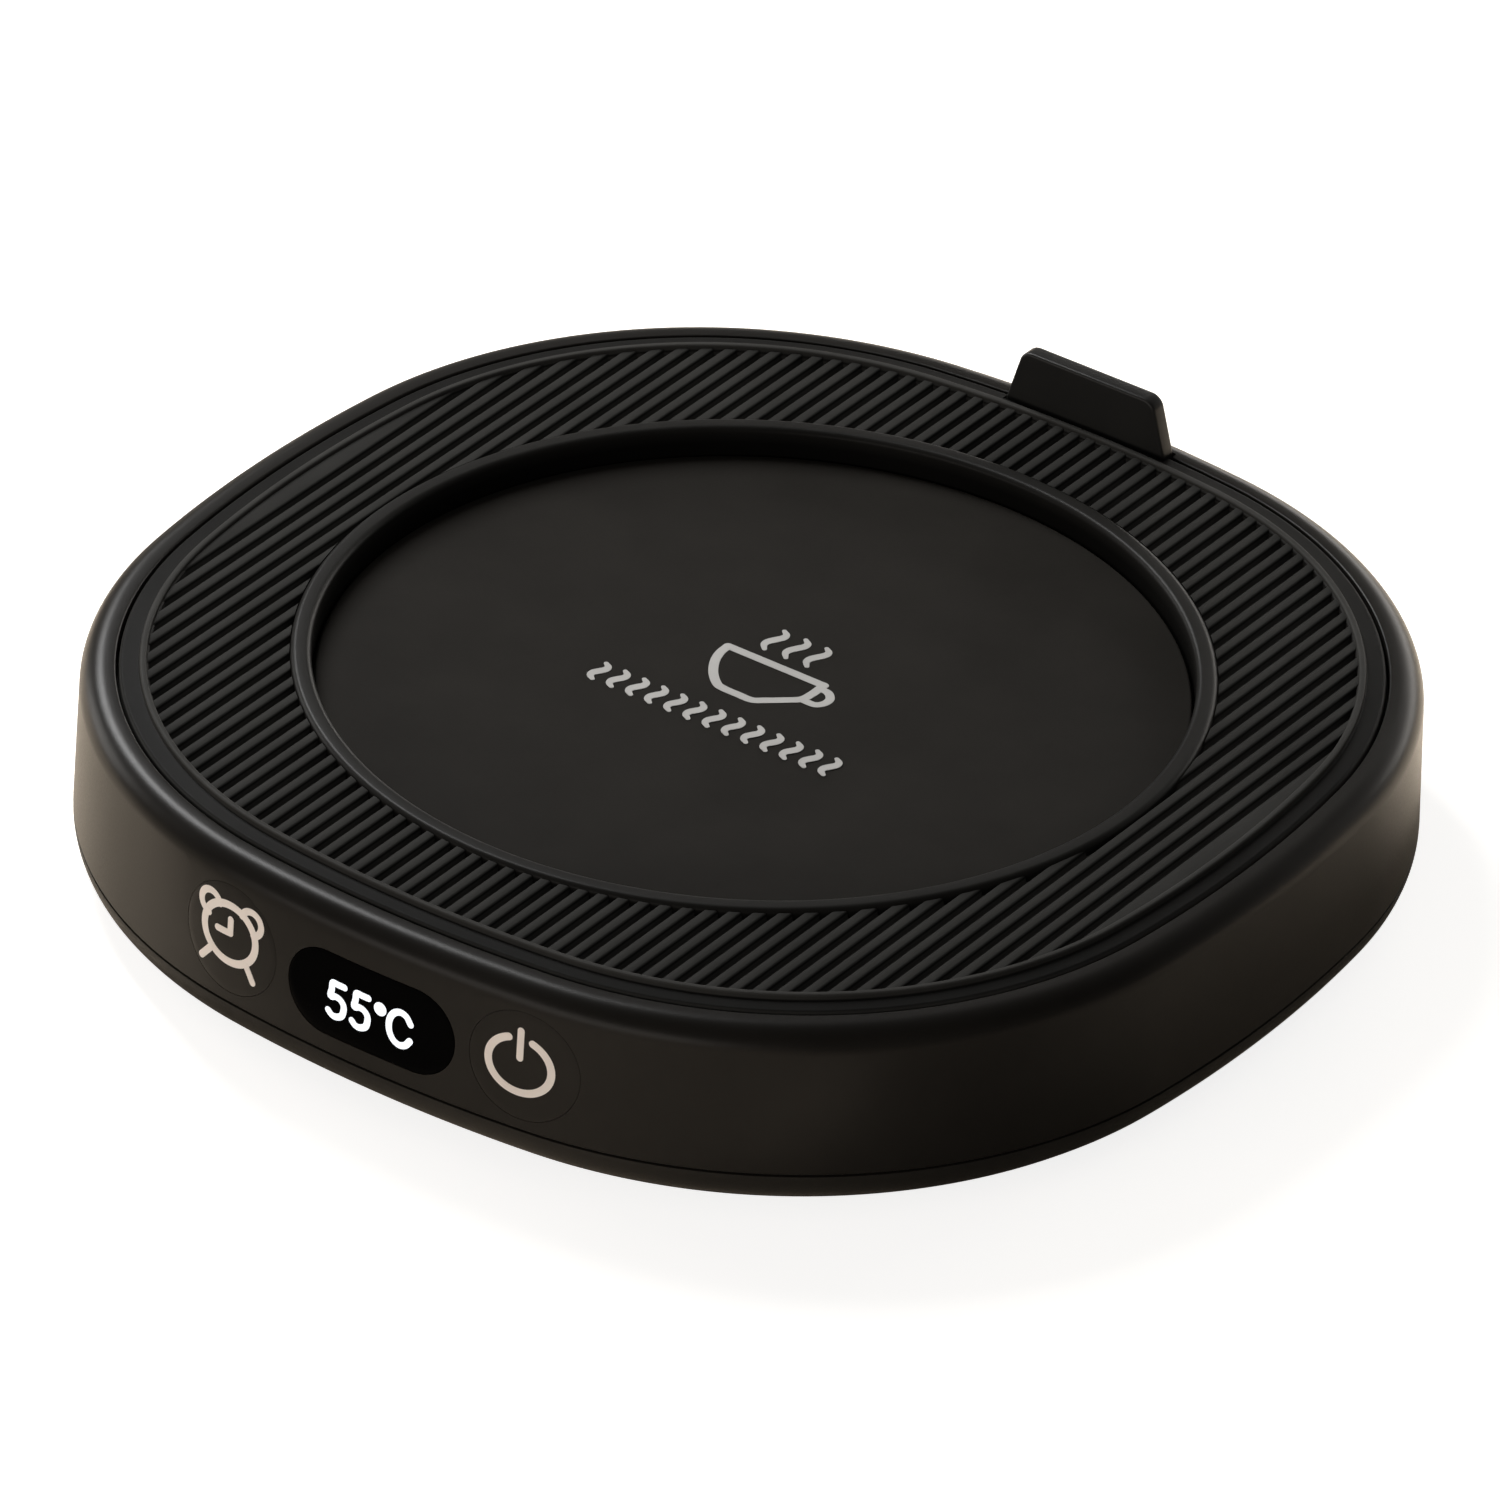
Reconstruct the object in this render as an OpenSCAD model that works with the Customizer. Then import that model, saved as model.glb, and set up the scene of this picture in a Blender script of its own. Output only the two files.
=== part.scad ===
/* [Body] */
// Width and depth of the body at its widest line, the seam above the bottom cover
body_w = 118; // [110:1:140]
// Height of the ribbed deck above the table
deck_h = 20; // [19:0.5:30]
// Radius of the rounded corners, seen from above
corner_r = 47.2; // [42:0.2:52]
// Radius of the gently bowed sides, seen from above
side_r = 140; // [125:1:200]
// Thickness of the side wall
wall_t = 2.2; // [1.8:0.1:2.6]
// How much the side wall leans in from the seam to the top edge
wall_lean = 0.4; // [0:0.1:1.2]
// Radius of the rounded top edge
edge_r = 2.4; // [1.5:0.1:2.8]

/* [Deck] */
// Diameter of the round recess that takes the mug
recess_d = 82; // [74:0.5:84]
// Depth of the recess below the ribs
recess_depth = 2.6; // [2:0.1:3.4]
// Width of the smooth lip round the recess
lip_w = 2; // [1.6:0.1:2.6]
// Height of the lip above the ribs
lip_rise = 0.3; // [0:0.05:0.6]
// Distance from one groove to the next
rib_pitch = 1.82; // [1.4:0.02:3]
// Width of a groove
groove_w = 0.7; // [0.5:0.05:0.9]
// Depth of a groove
groove_depth = 0.8; // [0.4:0.05:1.1]
// Thickness of the deck
deck_t = 2.4; // [2.2:0.1:3]
// Width of the flat band outside the bead
band_w = 1.86; // [1.5:0.05:2.4]
// Width of the raised bead round the ribs
bead_w = 0.7; // [0.5:0.05:1]
// Height of the bead above the ribs
bead_rise = 0.35; // [0.2:0.05:0.6]
// Drop of the flat band below the ribs
band_drop = 0.2; // [0:0.05:0.4]
// Open line between the deck and the rim of the body
deck_gap = 0.3; // [0.2:0.05:0.5]

/* [Rim and ledge] */
// Width of the flat rim inside the rounded top edge
rim_flat = 0.94; // [0.6:0.02:1.5]
// Drop of the rim below the ribs
rim_drop = 0.3; // [0.1:0.05:0.6]
// Width of the ledge that carries the deck
ledge_w = 3.8; // [3:0.1:5]
// Thickness of the ledge
ledge_t = 1.5; // [1.2:0.1:2]

/* [Bottom cover] */
// Height of the rubber feet below the cover
foot_h = 1.2; // [0.8:0.1:2]
// Diameter of a rubber foot
foot_d = 12; // [9:0.5:14]
// Depth of the pocket that holds a foot
foot_pocket = 0.8; // [0.5:0.1:1]
// Distance of the feet from the middle, along X and along Y
foot_at = 36; // [30:0.5:37]
// Height of the cover's visible side
cover_h = 3.7; // [3.2:0.1:5]
// Radius of the cover's turned-in side
cover_r = 3.7; // [3.6:0.1:6]
// Thickness of the cover's floor
floor_t = 2; // [1.6:0.1:2.4]
// Height of the shadow line at the seam
seam_gap = 0.3; // [0.2:0.05:0.5]
// Height of the cover's lip inside the body
cover_lip_h = 2; // [1.5:0.1:2.2]

/* [Display and keys] */
// Width of the display window
window_w = 18.8; // [14:0.1:20]
// Height of the display window
window_h = 8.8; // [6:0.1:9.4]
// Distance of each key from the middle of the front
key_at = 16.5; // [16.2:0.1:19]
// Diameter of a key
key_d = 11.2; // [8:0.1:11.2]
// Clearance round a key
key_clear = 0.12; // [0.08:0.01:0.25]
// Travel of a key
key_travel = 0.4; // [0.25:0.05:0.6]
// Height of the middle of the display above the middle of the side wall
display_up = 0; // [-0.3:0.1:0.3]
// Height of the middle of the keys above the middle of the display
key_up = 0.5; // [0:0.1:0.5]
// Thickness of the printed boards on edge and flat
board_t = 1.6; // [1:0.1:2]

/* [Rear] */
// Width of the rear tab at its foot
tab_w = 18.2; // [12:0.2:24]
// Width of the rear tab at its top
tab_top_w = 15; // [8:0.2:18]
// Height of the rear tab above the ribs
tab_h = 5.6; // [3:0.1:10]
// Thickness of the rear tab
tab_t = 1.8; // [1.4:0.1:2.2]
// Width of the power inlet's metal shell
inlet_w = 8.94; // [8:0.02:10]
// Height of the power inlet's metal shell
inlet_h = 3.26; // [2.6:0.02:3.6]
// Length of the power inlet's metal shell
inlet_len = 7.4; // [6:0.1:9]

/* [Heater] */
// Thickness of the heating plate's middle
plate_t = 2.4; // [2:0.1:2.8]
// Thickness of the heating plate's flange
plate_flange_t = 1; // [0.8:0.1:1.2]
// Gap between the heating plate and the recess wall
plate_gap = 0.25; // [0.15:0.05:0.4]
// Thickness of the heater film
heater_t = 0.4; // [0.2:0.1:0.8]
// Thickness of the insulation under the heater
insulation_t = 1.2; // [0.8:0.1:1.6]
// Thickness of the steel bracket
bracket_t = 0.8; // [0.6:0.1:1.2]
// Thickness of the gasket on the heating plate's flange
gasket_t = 0.4; // [0.3:0.1:0.6]

/* [Hidden] */
$fn = 96;
eps = 0.01;

// Outline seen from above: four corner arcs about (c, c), joined without a kink by four bowed sides
half_w = body_w / 2;
side_d = side_r - half_w;
corner_c = (sqrt(2 * pow(side_r - corner_r, 2) - side_d * side_d) - side_d) / 2;
side_half_angle = atan(corner_c / (corner_c + side_d));
diagonal_reach = corner_c * sqrt(2) + corner_r;

// Distance of the outline, moved outwards by o, from the middle plane, at x from the middle of a side
function outline_at(x, o) = abs(x) <= (side_r + o) * sin(side_half_angle)
    ? sqrt(pow(side_r + o, 2) - x * x) - side_d
    : corner_c + sqrt(max(0, pow(corner_r + o, 2) - pow(abs(x) - corner_c, 2)));

// Heights
cover_z = foot_h;
floor_z = cover_z + floor_t;
seam_z = cover_z + cover_h;
rim_z = deck_h - rim_drop;
edge_z = rim_z - edge_r;
deck_z = deck_h - deck_t;
ledge_z = deck_z - ledge_t;
plate_z = deck_h - recess_depth;
heater_z = plate_z - plate_t;
insulation_z = heater_z - heater_t;
bracket_z = insulation_z - insulation_t;
bracket_low = bracket_z - bracket_t;
flange_z = heater_z + plate_flange_t;
ring_low = flange_z + gasket_t;

// Offsets of the walls from the widest outline, inwards is negative
wall_in = -wall_t;
wall_top_in = -wall_t - wall_lean;
rim_out = -wall_lean - edge_r;
rim_in = rim_out - rim_flat;
deck_edge = rim_in - deck_gap;
band_in = deck_edge - band_w;
bead_in = band_in - bead_w;
ledge_in = rim_in - ledge_w;
joint_clear = 0.15;
seat_clear = 0.02;

// Recess, heating plate and what clamps them
recess_r = recess_d / 2;
lip_r = recess_r + lip_w;
ring_flange_r = lip_r + 3.5;
ring_clear = 0.05;
plate_r = recess_r - plate_gap;
flange_r = recess_r + lip_w * 1.75;
film_r = recess_r - 2.5;
bracket_r = recess_r + 1;
boss_r = 2.6;
boss_at = (ring_flange_r + boss_r + 1) / sqrt(2);
lead_hole_r = 1.6;
lead_r = 0.6;
lead_at = [3, 24];
sensor_r = 2.2;
sensor_at = [0, 6];

// Screws: shank radius, head radius and head height
m2_shank = 0.95;
m2_head = 1.9;
m2_head_h = 1.3;
m25_shank = 1.2;
m25_head = 2.4;
m25_head_h = 1.5;
pilot_clear = 0.05;
hole_clear = 0.2;

// Cover posts and their screws
post_at = [44, 22];
post_r = 3.4;
post_joint_z = floor_z + 1.8;
post_top = bracket_low - 0.6;
counterbore = 2.1;
screw_reach = 5.5;

// Main board, which ends just short of the rear wall, and the parts on it, which end just under the bracket
board_w = 0.373 * body_w;
board_front = -0.273 * board_w;
board_wall_clear = 0.4;
board_rear = outline_at(board_w / 2, wall_top_in) - board_wall_clear;
board_z = floor_z + 1.9 * floor_t;
board_top = board_z + board_t;
board_post_r = 2.6;
board_post_x = board_w / 2 - 1.54 * board_post_r;
board_posts = [[board_post_x, board_front + 1.54 * board_post_r],
    [board_post_x, board_rear - 3.08 * board_post_r]];
part_clear = 1;
part_h = bracket_low - part_clear - board_top;
plug_h = 0.87 * part_h;

// Thermal cut-out: its body, its tapered resin end and its two leads
fuse_r = 0.9;
fuse_len = 7;
fuse_end = 1.2;
fuse_lead = 3.4;
fuse_wire_r = 0.35;
fuse_clear = 0.1;

// Keys, display and the upright board behind them
front_z = (seam_z + edge_z) / 2 + display_up;
key_z = front_z + key_up;
lens_flange = 1;
lens_clear = 0.1;
lens_flange_t = 0.8;
wing = 1.1;
wing_h = 4;
wing_t = 1;
key_back = -outline_at(key_at + key_d / 2 + wing, wall_top_in) + joint_clear;
wing_back = key_back + wing_t;
switch_h = 1.6;
switch_w = 4.6;
plunger_r = 1.1;
plunger_clear = 0.1;
switch_face = wing_back + key_travel + 0.4;
panel_front = switch_face + switch_h;
panel_t = 1.2;
panel_back = panel_front + panel_t;
panel_w = 54;
panel_low = floor_z + floor_t;
panel_top = ledge_z - 0.6;
lens_back = -outline_at(window_w / 2 + lens_flange, wall_top_in) + joint_clear + lens_flange_t;
link_w = 8;
plug_d = 3;
plug_in = 1;
rail_w = 4;
rail_bite = 1.4;

// Rear tab and power inlet
tab_y = outline_at(0, band_in) + 0.7;
tab_clear = 0.15;
notch_side = 0.5;
tab_round = 1.4;
peg_r = 1.1;
peg_at = 5;
inlet_mouth = outline_at(0, -1);
inlet_z = board_top + inlet_h / 2;
inlet_clear = 0.2;

// Colours
shell_black = [0.13, 0.13, 0.125];
deck_black = [0.16, 0.16, 0.155];
steel = [0.72, 0.73, 0.74];
board_green = [0.1, 0.32, 0.2];
rubber = [0.09, 0.09, 0.09];

// Carries a flat profile once round the outline. Its x is the offset from the widest outline, its y the height.
// The bowed sides end inside the corner lengths, set in and shifted up or down by a hair, so that the eight
// lengths join into one solid with no faces that nearly touch.
module round_outline(shift = -0.006) {
    set_in = 0.01;
    overlap = 0.1;
    for (quarter = [0:3]) rotate([0, 0, 90 * quarter]) {
        translate([0, -side_d, 0])
            rotate_extrude(angle = 2 * (side_half_angle + overlap),
                start = 90 - side_half_angle - overlap, $fn = 240)
                    translate([side_r - set_in, shift]) children();
        translate([corner_c, corner_c, 0])
            rotate_extrude(angle = 90 - 2 * side_half_angle, start = side_half_angle, $fn = 240)
                translate([corner_r, 0]) children();
    }
}

// Four copies, one in each quadrant
module four(at) {
    for (sx = [-1, 1], sy = [-1, 1]) translate([sx * at[0], sy * at[1], 0]) children();
}

module disc(r, z0, z1) {
    translate([0, 0, z0]) cylinder(r = r, h = z1 - z0);
}

// A bar with round ends along X, pushed along Y from y0 to y1, with its middle at height z
module pill_through(w, h, z, y0, y1) {
    translate([0, y1, z]) rotate([90, 0, 0]) linear_extrude(y1 - y0) union() {
        square([w - h, h], center = true);
        for (s = [-1, 1]) translate([s * (w - h) / 2, 0]) circle(d = h);
    }
}

module rod_through(x, r, z, y0, y1) {
    translate([x, y1, z]) rotate([90, 0, 0]) cylinder(r = r, h = y1 - y0);
}

// Pan-head screw that points up: its head starts at z = 0 and hangs down
module screw_up(shank, head, head_h, reach) {
    difference() {
        translate([0, 0, -head_h]) cylinder(r = head, h = head_h);
        for (turn = [0, 90]) rotate([0, 0, turn])
            translate([-head * 0.55, -0.25, -head_h - eps]) cube([head * 1.1, 0.5, head_h * 0.5]);
    }
    translate([0, 0, -head_h / 2 + eps]) cylinder(r = shank, h = reach + head_h / 2);
}

// The side of the body between the seam and the top edge, filled inwards by depth
module side_skin(depth) {
    round_outline() polygon([
        [-depth, seam_z], [0, seam_z], [-wall_lean, edge_z], [-depth, edge_z]]);
}

module upper_housing_profile() {
    union() {
        polygon([
            [wall_in, seam_z], [0, seam_z], [-wall_lean, edge_z], [rim_out, edge_z], [rim_out, rim_z],
            [rim_in, rim_z], [rim_in, deck_z - seat_clear], [ledge_in, deck_z - seat_clear],
            [ledge_in, ledge_z], [wall_top_in - 0.8, ledge_z], [wall_top_in, ledge_z - 0.8]]);
        translate([rim_out, edge_z]) intersection() {
            circle(r = edge_r);
            square(edge_r);
        }
    }
}

module upper_housing() {
    color(shell_black) difference() {
        union() {
            round_outline() upper_housing_profile();
            four(post_at) disc(post_r, post_joint_z, post_top);
            for (sx = [-1, 1], sy = [-1, 1]) cover_post_web(sx, sy);
        }
        four(post_at) disc(m25_shank + pilot_clear, post_joint_z - eps, post_joint_z + screw_reach);
        pill_through(window_w, window_h, front_z, -half_w - 1, lens_back);
        window_pocket();
        for (s = [-1, 1])
            rod_through(s * key_at, key_d / 2 + key_clear, key_z, -half_w - 1, -half_w - ledge_in + 1);
        pill_through(inlet_w + 2 * inlet_clear, inlet_h + 2 * inlet_clear, inlet_z, half_w - 8, half_w + 1);
        tab_notch();
        four([boss_at, boss_at]) disc(boss_r + joint_clear, ledge_z - 1, deck_z + 1);
        for (s = [-1, 1]) translate([s * peg_at, tab_y + tab_t / 2, 0])
            disc(peg_r + pilot_clear, ledge_z - 1, deck_z + 1);
    }
}

// Room for the window's flange, behind the wall
module window_pocket() {
    pill_through(window_w + 2 * lens_flange + 2 * lens_clear, window_h + 2 * lens_flange + 2 * lens_clear,
        front_z, lens_back - lens_flange_t - joint_clear, -half_w - ledge_in + 1);
}

// Rib that ties a screw post to the side wall
module cover_post_web(sx, sy) {
    reach = outline_at(post_at[1], wall_in / 2 - wall_lean) - post_at[0];
    translate([sx > 0 ? post_at[0] : -post_at[0] - reach, sy * post_at[1] - 0.9, seam_z + cover_lip_h + 0.3])
        cube([reach, 1.8, post_top - seam_z - cover_lip_h - 0.3]);
}

// Room for the rear tab, cut through the deck's edge and the rim
module tab_notch() {
    translate([-tab_w / 2 - notch_side, tab_y - tab_clear, deck_z - seat_clear])
        cube([tab_w + 2 * notch_side, tab_t + 2 * tab_clear, deck_t + 2]);
}

module ribbed_deck_profile() {
    band_z = deck_h - band_drop;
    bead_z = deck_h + bead_rise;
    soft = bead_w / 5;
    union() {
        polygon([
            [bead_in - 9, deck_z], [deck_edge, deck_z], [deck_edge, band_z - 0.4], [deck_edge - 0.4, band_z],
            [band_in, band_z], [band_in, bead_z - soft], [band_in - soft, bead_z], [bead_in + soft, bead_z],
            [bead_in, bead_z - soft], [bead_in, deck_h], [bead_in - 9, deck_h]]);
        translate([deck_edge - 0.4, band_z - 0.4]) circle(r = 0.4);
    }
}

// One groove with round ends, as long as the space inside the bead allows at x
module groove(x) {
    reach = outline_at(abs(x) + groove_w / 2, bead_in) - groove_w / 2;
    translate([x, 0, deck_h - groove_depth]) linear_extrude(groove_depth + 1) union() {
        square([groove_w, 2 * reach], center = true);
        for (s = [-1, 1]) translate([0, s * reach]) circle(d = groove_w);
    }
}

module ribbed_deck() {
    half_count = floor((outline_at(0, bead_in) - groove_w / 2 - 0.2) / rib_pitch + 0.5);
    color(deck_black) difference() {
        union() {
            round_outline() ribbed_deck_profile();
            disc(half_w + bead_in - 0.6, deck_z, deck_h);
            four([boss_at, boss_at]) disc(boss_r, bracket_z, deck_z + eps);
            deck_hooks();
        }
        disc(lip_r + ring_clear, deck_z - 1, deck_h + 2);
        for (i = [0.5:1:half_count - 0.5], s = [-1, 1]) groove(s * i * rib_pitch);
        four([boss_at, boss_at]) disc(m25_shank + pilot_clear, bracket_z - 1, deck_z);
        tab_notch();
    }
}

// Snap hooks at the diagonals that hold the deck down on the ledge
module deck_hooks() {
    stem = diagonal_reach + ledge_in - joint_clear - 1.2;
    low = ledge_z - joint_clear - 1.2;
    for (quarter = [0:3]) rotate([0, 0, 45 + 90 * quarter]) {
        translate([stem, -3, low]) cube([1.2, 6, deck_z - low + eps]);
        translate([stem, -3, low]) cube([2.2, 6, 1.2]);
    }
}

module recess_ring() {
    top = deck_h + lip_rise;
    round_r = 0.6;
    color(deck_black) rotate_extrude() union() {
        translate([recess_r, ring_low]) square([lip_w, top - round_r - ring_low]);
        translate([recess_r + round_r, ring_low]) square([lip_w - 2 * round_r, top - ring_low]);
        for (x = [recess_r + round_r, lip_r - round_r]) translate([x, top - round_r]) circle(r = round_r);
        translate([recess_r, ring_low]) square([ring_flange_r - recess_r, deck_z - seat_clear - ring_low]);
    }
}

module heating_plate() {
    color([0.17, 0.17, 0.16]) rotate_extrude() union() {
        translate([0, heater_z]) square([flange_r, plate_flange_t]);
        translate([0, heater_z]) square([plate_r, plate_t - 0.3]);
        polygon([[0, plate_z - 0.3], [plate_r, plate_z - 0.3], [plate_r - 0.3, plate_z], [0, plate_z]]);
    }
}

module plate_gasket() {
    color(rubber) difference() {
        disc(flange_r, flange_z, ring_low);
        disc(recess_r + 0.3, flange_z - 1, ring_low + 1);
    }
}

module stack_holes(z0, z1) {
    translate([sensor_at[0], sensor_at[1], 0]) disc(sensor_r + 0.4, z0 - 1, z1 + 1);
    for (s = [-1, 1]) translate([s * lead_at[0], lead_at[1], 0]) disc(lead_hole_r, z0 - 1, z1 + 1);
}

module heater_film() {
    color([0.8, 0.5, 0.2]) difference() {
        disc(film_r, insulation_z, heater_z);
        translate([sensor_at[0], sensor_at[1], 0]) disc(sensor_r + 0.4, insulation_z - 1, heater_z + 1);
    }
}

module insulation_disc() {
    color([0.86, 0.84, 0.78]) difference() {
        disc(film_r + 1.5, bracket_z, insulation_z);
        stack_holes(bracket_z, insulation_z);
    }
}

module heater_bracket() {
    color(steel) difference() {
        union() {
            disc(bracket_r, bracket_low, bracket_z);
            for (quarter = [0:3]) rotate([0, 0, 45 + 90 * quarter])
                translate([bracket_r - 6, -3.4, bracket_low])
                    cube([boss_at * sqrt(2) - bracket_r + 6, 6.8, bracket_t]);
            four([boss_at, boss_at]) disc(4, bracket_low, bracket_z);
        }
        four([boss_at, boss_at]) disc(m25_shank + hole_clear, bracket_low - 1, bracket_z + 1);
        stack_holes(bracket_low, bracket_z);
    }
}

module bracket_screws() {
    color(steel) four([boss_at, boss_at]) translate([0, 0, bracket_low])
        screw_up(m25_shank, m25_head, m25_head_h, deck_z - bracket_low - 0.5);
}

module temperature_sensor() {
    color([0.85, 0.8, 0.7]) translate([sensor_at[0], sensor_at[1], 0]) {
        disc(sensor_r, bracket_low - 0.5, heater_z);
        for (s = [-1, 1]) translate([s * 0.9, 0, 0]) disc(0.35, board_top, bracket_low);
    }
}

module thermal_fuse() {
    axis_z = bracket_low - fuse_clear - fuse_r;
    reach = fuse_len / 2 + fuse_lead;
    color([0.9, 0.88, 0.84]) translate([0, board_front + board_post_x / 2, 0]) {
        translate([0, 0, axis_z]) rotate([0, 90, 0]) rotate_extrude() polygon([
            [0, -reach], [fuse_wire_r, -reach], [fuse_wire_r, -fuse_len / 2], [fuse_r, -fuse_len / 2],
            [fuse_r, fuse_len / 2], [1.3 * fuse_wire_r, fuse_len / 2 + fuse_end],
            [fuse_wire_r, fuse_len / 2 + fuse_end], [fuse_wire_r, reach], [0, reach]]);
        for (s = [-1, 1]) translate([s * reach, 0, 0])
            disc(fuse_wire_r, board_top, axis_z + fuse_wire_r);
    }
}

module heater_leads() {
    color([0.75, 0.1, 0.1]) for (s = [-1, 1]) translate([s * lead_at[0], lead_at[1], 0])
        disc(lead_r, board_top, insulation_z);
}

module display_lens() {
    color([0.02, 0.02, 0.03]) union() {
        intersection() {
            pill_through(window_w - 2 * lens_clear, window_h - 2 * lens_clear, front_z,
                -half_w - 1, lens_back - lens_flange_t + eps);
            side_skin(9);
        }
        pill_through(window_w + 2 * lens_flange, window_h + 2 * lens_flange, front_z,
            lens_back - lens_flange_t, lens_back);
    }
}

module display_module() {
    color([0.2, 0.2, 0.22]) translate([-window_w / 2 + 0.4, lens_back + 0.05, front_z - window_h / 2 + 0.4])
        cube([window_w - 0.8, panel_front - lens_back - 0.05, window_h - 0.8]);
}

module key(side) {
    union() {
        intersection() {
            rod_through(side * key_at, key_d / 2, key_z, -half_w - 1, wing_back);
            side_skin(9);
        }
        translate([side * key_at - key_d / 2 - wing, key_back, key_z - wing_h / 2])
            cube([key_d + 2 * wing, wing_t, wing_h]);
    }
}

module timer_key() {
    color(shell_black) key(-1);
}

module power_key() {
    color(shell_black) key(1);
}

// The plunger hangs in the well of its switch and moves with the key
module plunger(side) {
    rod_through(side * key_at, plunger_r, key_z, wing_back, switch_face + 0.7);
}

module timer_plunger() {
    color([0.85, 0.85, 0.8]) plunger(-1);
}

module power_plunger() {
    color([0.85, 0.85, 0.8]) plunger(1);
}

module key_switches() {
    well = 0.7 + key_travel + 0.1;
    color([0.3, 0.3, 0.32]) for (s = [-1, 1]) difference() {
        translate([s * key_at - switch_w / 2, switch_face, key_z - switch_w / 2])
            cube([switch_w, switch_h, switch_w]);
        rod_through(s * key_at, plunger_r + plunger_clear, key_z, switch_face - 1, switch_face + well);
    }
}

module control_board() {
    color(board_green) union() {
        translate([-panel_w / 2, panel_front, panel_low]) cube([panel_w, panel_t, panel_top - panel_low]);
        translate([-0.75 * link_w, panel_back, board_top]) cube([1.5 * link_w, plug_d, plug_h]);
    }
}

// Flat cable from the upright board to the main board, with a dip between them
module board_link() {
    start = panel_back + plug_d;
    rear = board_front + plug_in;
    high = board_top + 0.42 * plug_h;
    low = floor_z + floor_t / 2;
    thick = link_w / 20;
    dip = link_w / 2;
    color([0.85, 0.85, 0.82]) translate([-link_w / 2, 0, 0]) rotate([90, 0, 90])
        linear_extrude(link_w) polygon([
            [start, high], [start + dip, high], [start + 2 * dip, low], [rear - 2.2 * dip, low],
            [rear - 1.2 * dip, high], [rear, high], [rear, high + thick],
            [rear - 1.2 * dip - thick / 2, high + thick], [rear - 2.2 * dip - thick / 2, low + thick],
            [start + 2 * dip + thick / 2, low + thick], [start + dip + thick / 2, high + thick],
            [start, high + thick]]);
}

module main_board() {
    color(board_green) difference() {
        translate([-board_w / 2, board_front, board_z])
            cube([board_w, board_rear - board_front, board_t]);
        for (p = board_posts, s = [-1, 1]) translate([s * p[0], p[1], 0])
            disc(m2_shank + hole_clear, board_z - 1, board_top + 1);
    }
}

module board_components() {
    chip = board_w / 6.3;
    color([0.12, 0.12, 0.13]) {
        translate([0.86 * chip, 2 * chip, board_top]) cube([chip, chip, part_h / 3]);
        translate([-2.3 * chip, 4 * chip, board_top]) cube([0.93 * chip, 0.86 * chip, 0.53 * part_h]);
        translate([-0.625 * link_w, board_front + plug_in, board_top])
            cube([1.25 * link_w, 0.5 * link_w, plug_h]);
        translate([-1.7 * chip, 2 * chip, 0]) disc(0.49 * chip, board_top, board_top + part_h);
        translate([2 * chip, 4.6 * chip, 0]) disc(0.36 * chip, board_top, board_top + 0.93 * part_h);
    }
}

module buzzer() {
    case_r = 0.1 * board_w;
    color([0.1, 0.1, 0.1]) translate([0.34 * board_w, 0.045 * board_w, 0]) difference() {
        disc(case_r, board_top, board_top + plug_h);
        disc(0.18 * case_r, board_top + 0.6 * plug_h, board_top + plug_h + 1);
    }
}

module board_screws() {
    reach = board_t + 0.68 * (board_z - floor_z);
    color(steel) for (p = board_posts, s = [-1, 1]) translate([s * p[0], p[1], board_top])
        rotate([180, 0, 0]) screw_up(m2_shank, m2_head, m2_head_h, reach);
}

module power_inlet() {
    shell = 0.4;
    color(steel) difference() {
        pill_through(inlet_w, inlet_h, inlet_z, inlet_mouth - inlet_len, inlet_mouth);
        pill_through(inlet_w - 2 * shell, inlet_h - 2 * shell, inlet_z,
            inlet_mouth - inlet_len + 1.2, inlet_mouth + 1);
    }
    color([0.1, 0.1, 0.1]) translate([-inlet_w * 0.375, inlet_mouth - inlet_len + 1, inlet_z - 0.35])
        cube([inlet_w * 0.75, inlet_len - 1.8, 0.7]);
}

module rear_tab() {
    top = deck_h + tab_h;
    foot = deck_z - seat_clear;
    color([0.11, 0.11, 0.11]) union() {
        translate([0, tab_y + tab_t, 0]) rotate([90, 0, 0]) linear_extrude(tab_t) union() {
            polygon([
                [-tab_w / 2, foot], [tab_w / 2, foot], [tab_w / 2, deck_h], [tab_top_w / 2, top - tab_round],
                [tab_top_w / 2 - tab_round, top], [-tab_top_w / 2 + tab_round, top],
                [-tab_top_w / 2, top - tab_round], [-tab_w / 2, deck_h]]);
            for (s = [-1, 1]) translate([s * (tab_top_w / 2 - tab_round), top - tab_round])
                circle(r = tab_round);
        }
        for (s = [-1, 1]) translate([s * peg_at, tab_y + tab_t / 2, 0])
            disc(peg_r, ledge_z + 0.2, deck_z + eps);
    }
}

module bottom_cover_profile() {
    side_top = seam_z - seam_gap;
    side_bow = cover_r - sqrt(cover_r * cover_r - pow(side_top - cover_z, 2));
    foot = -side_bow;
    inner = -wall_t - 2;
    union() {
        polygon([
            [-16, cover_z], [foot, cover_z], [foot, side_top], [-0.9, side_top], [-0.9, seam_z - seat_clear],
            [wall_in - 1.6, seam_z - seat_clear], [inner, floor_z], [-16, floor_z]]);
        intersection() {
            translate([-cover_r, side_top]) circle(r = cover_r);
            translate([-cover_r, cover_z]) square([cover_r, side_top - cover_z]);
        }
    }
}

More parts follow.
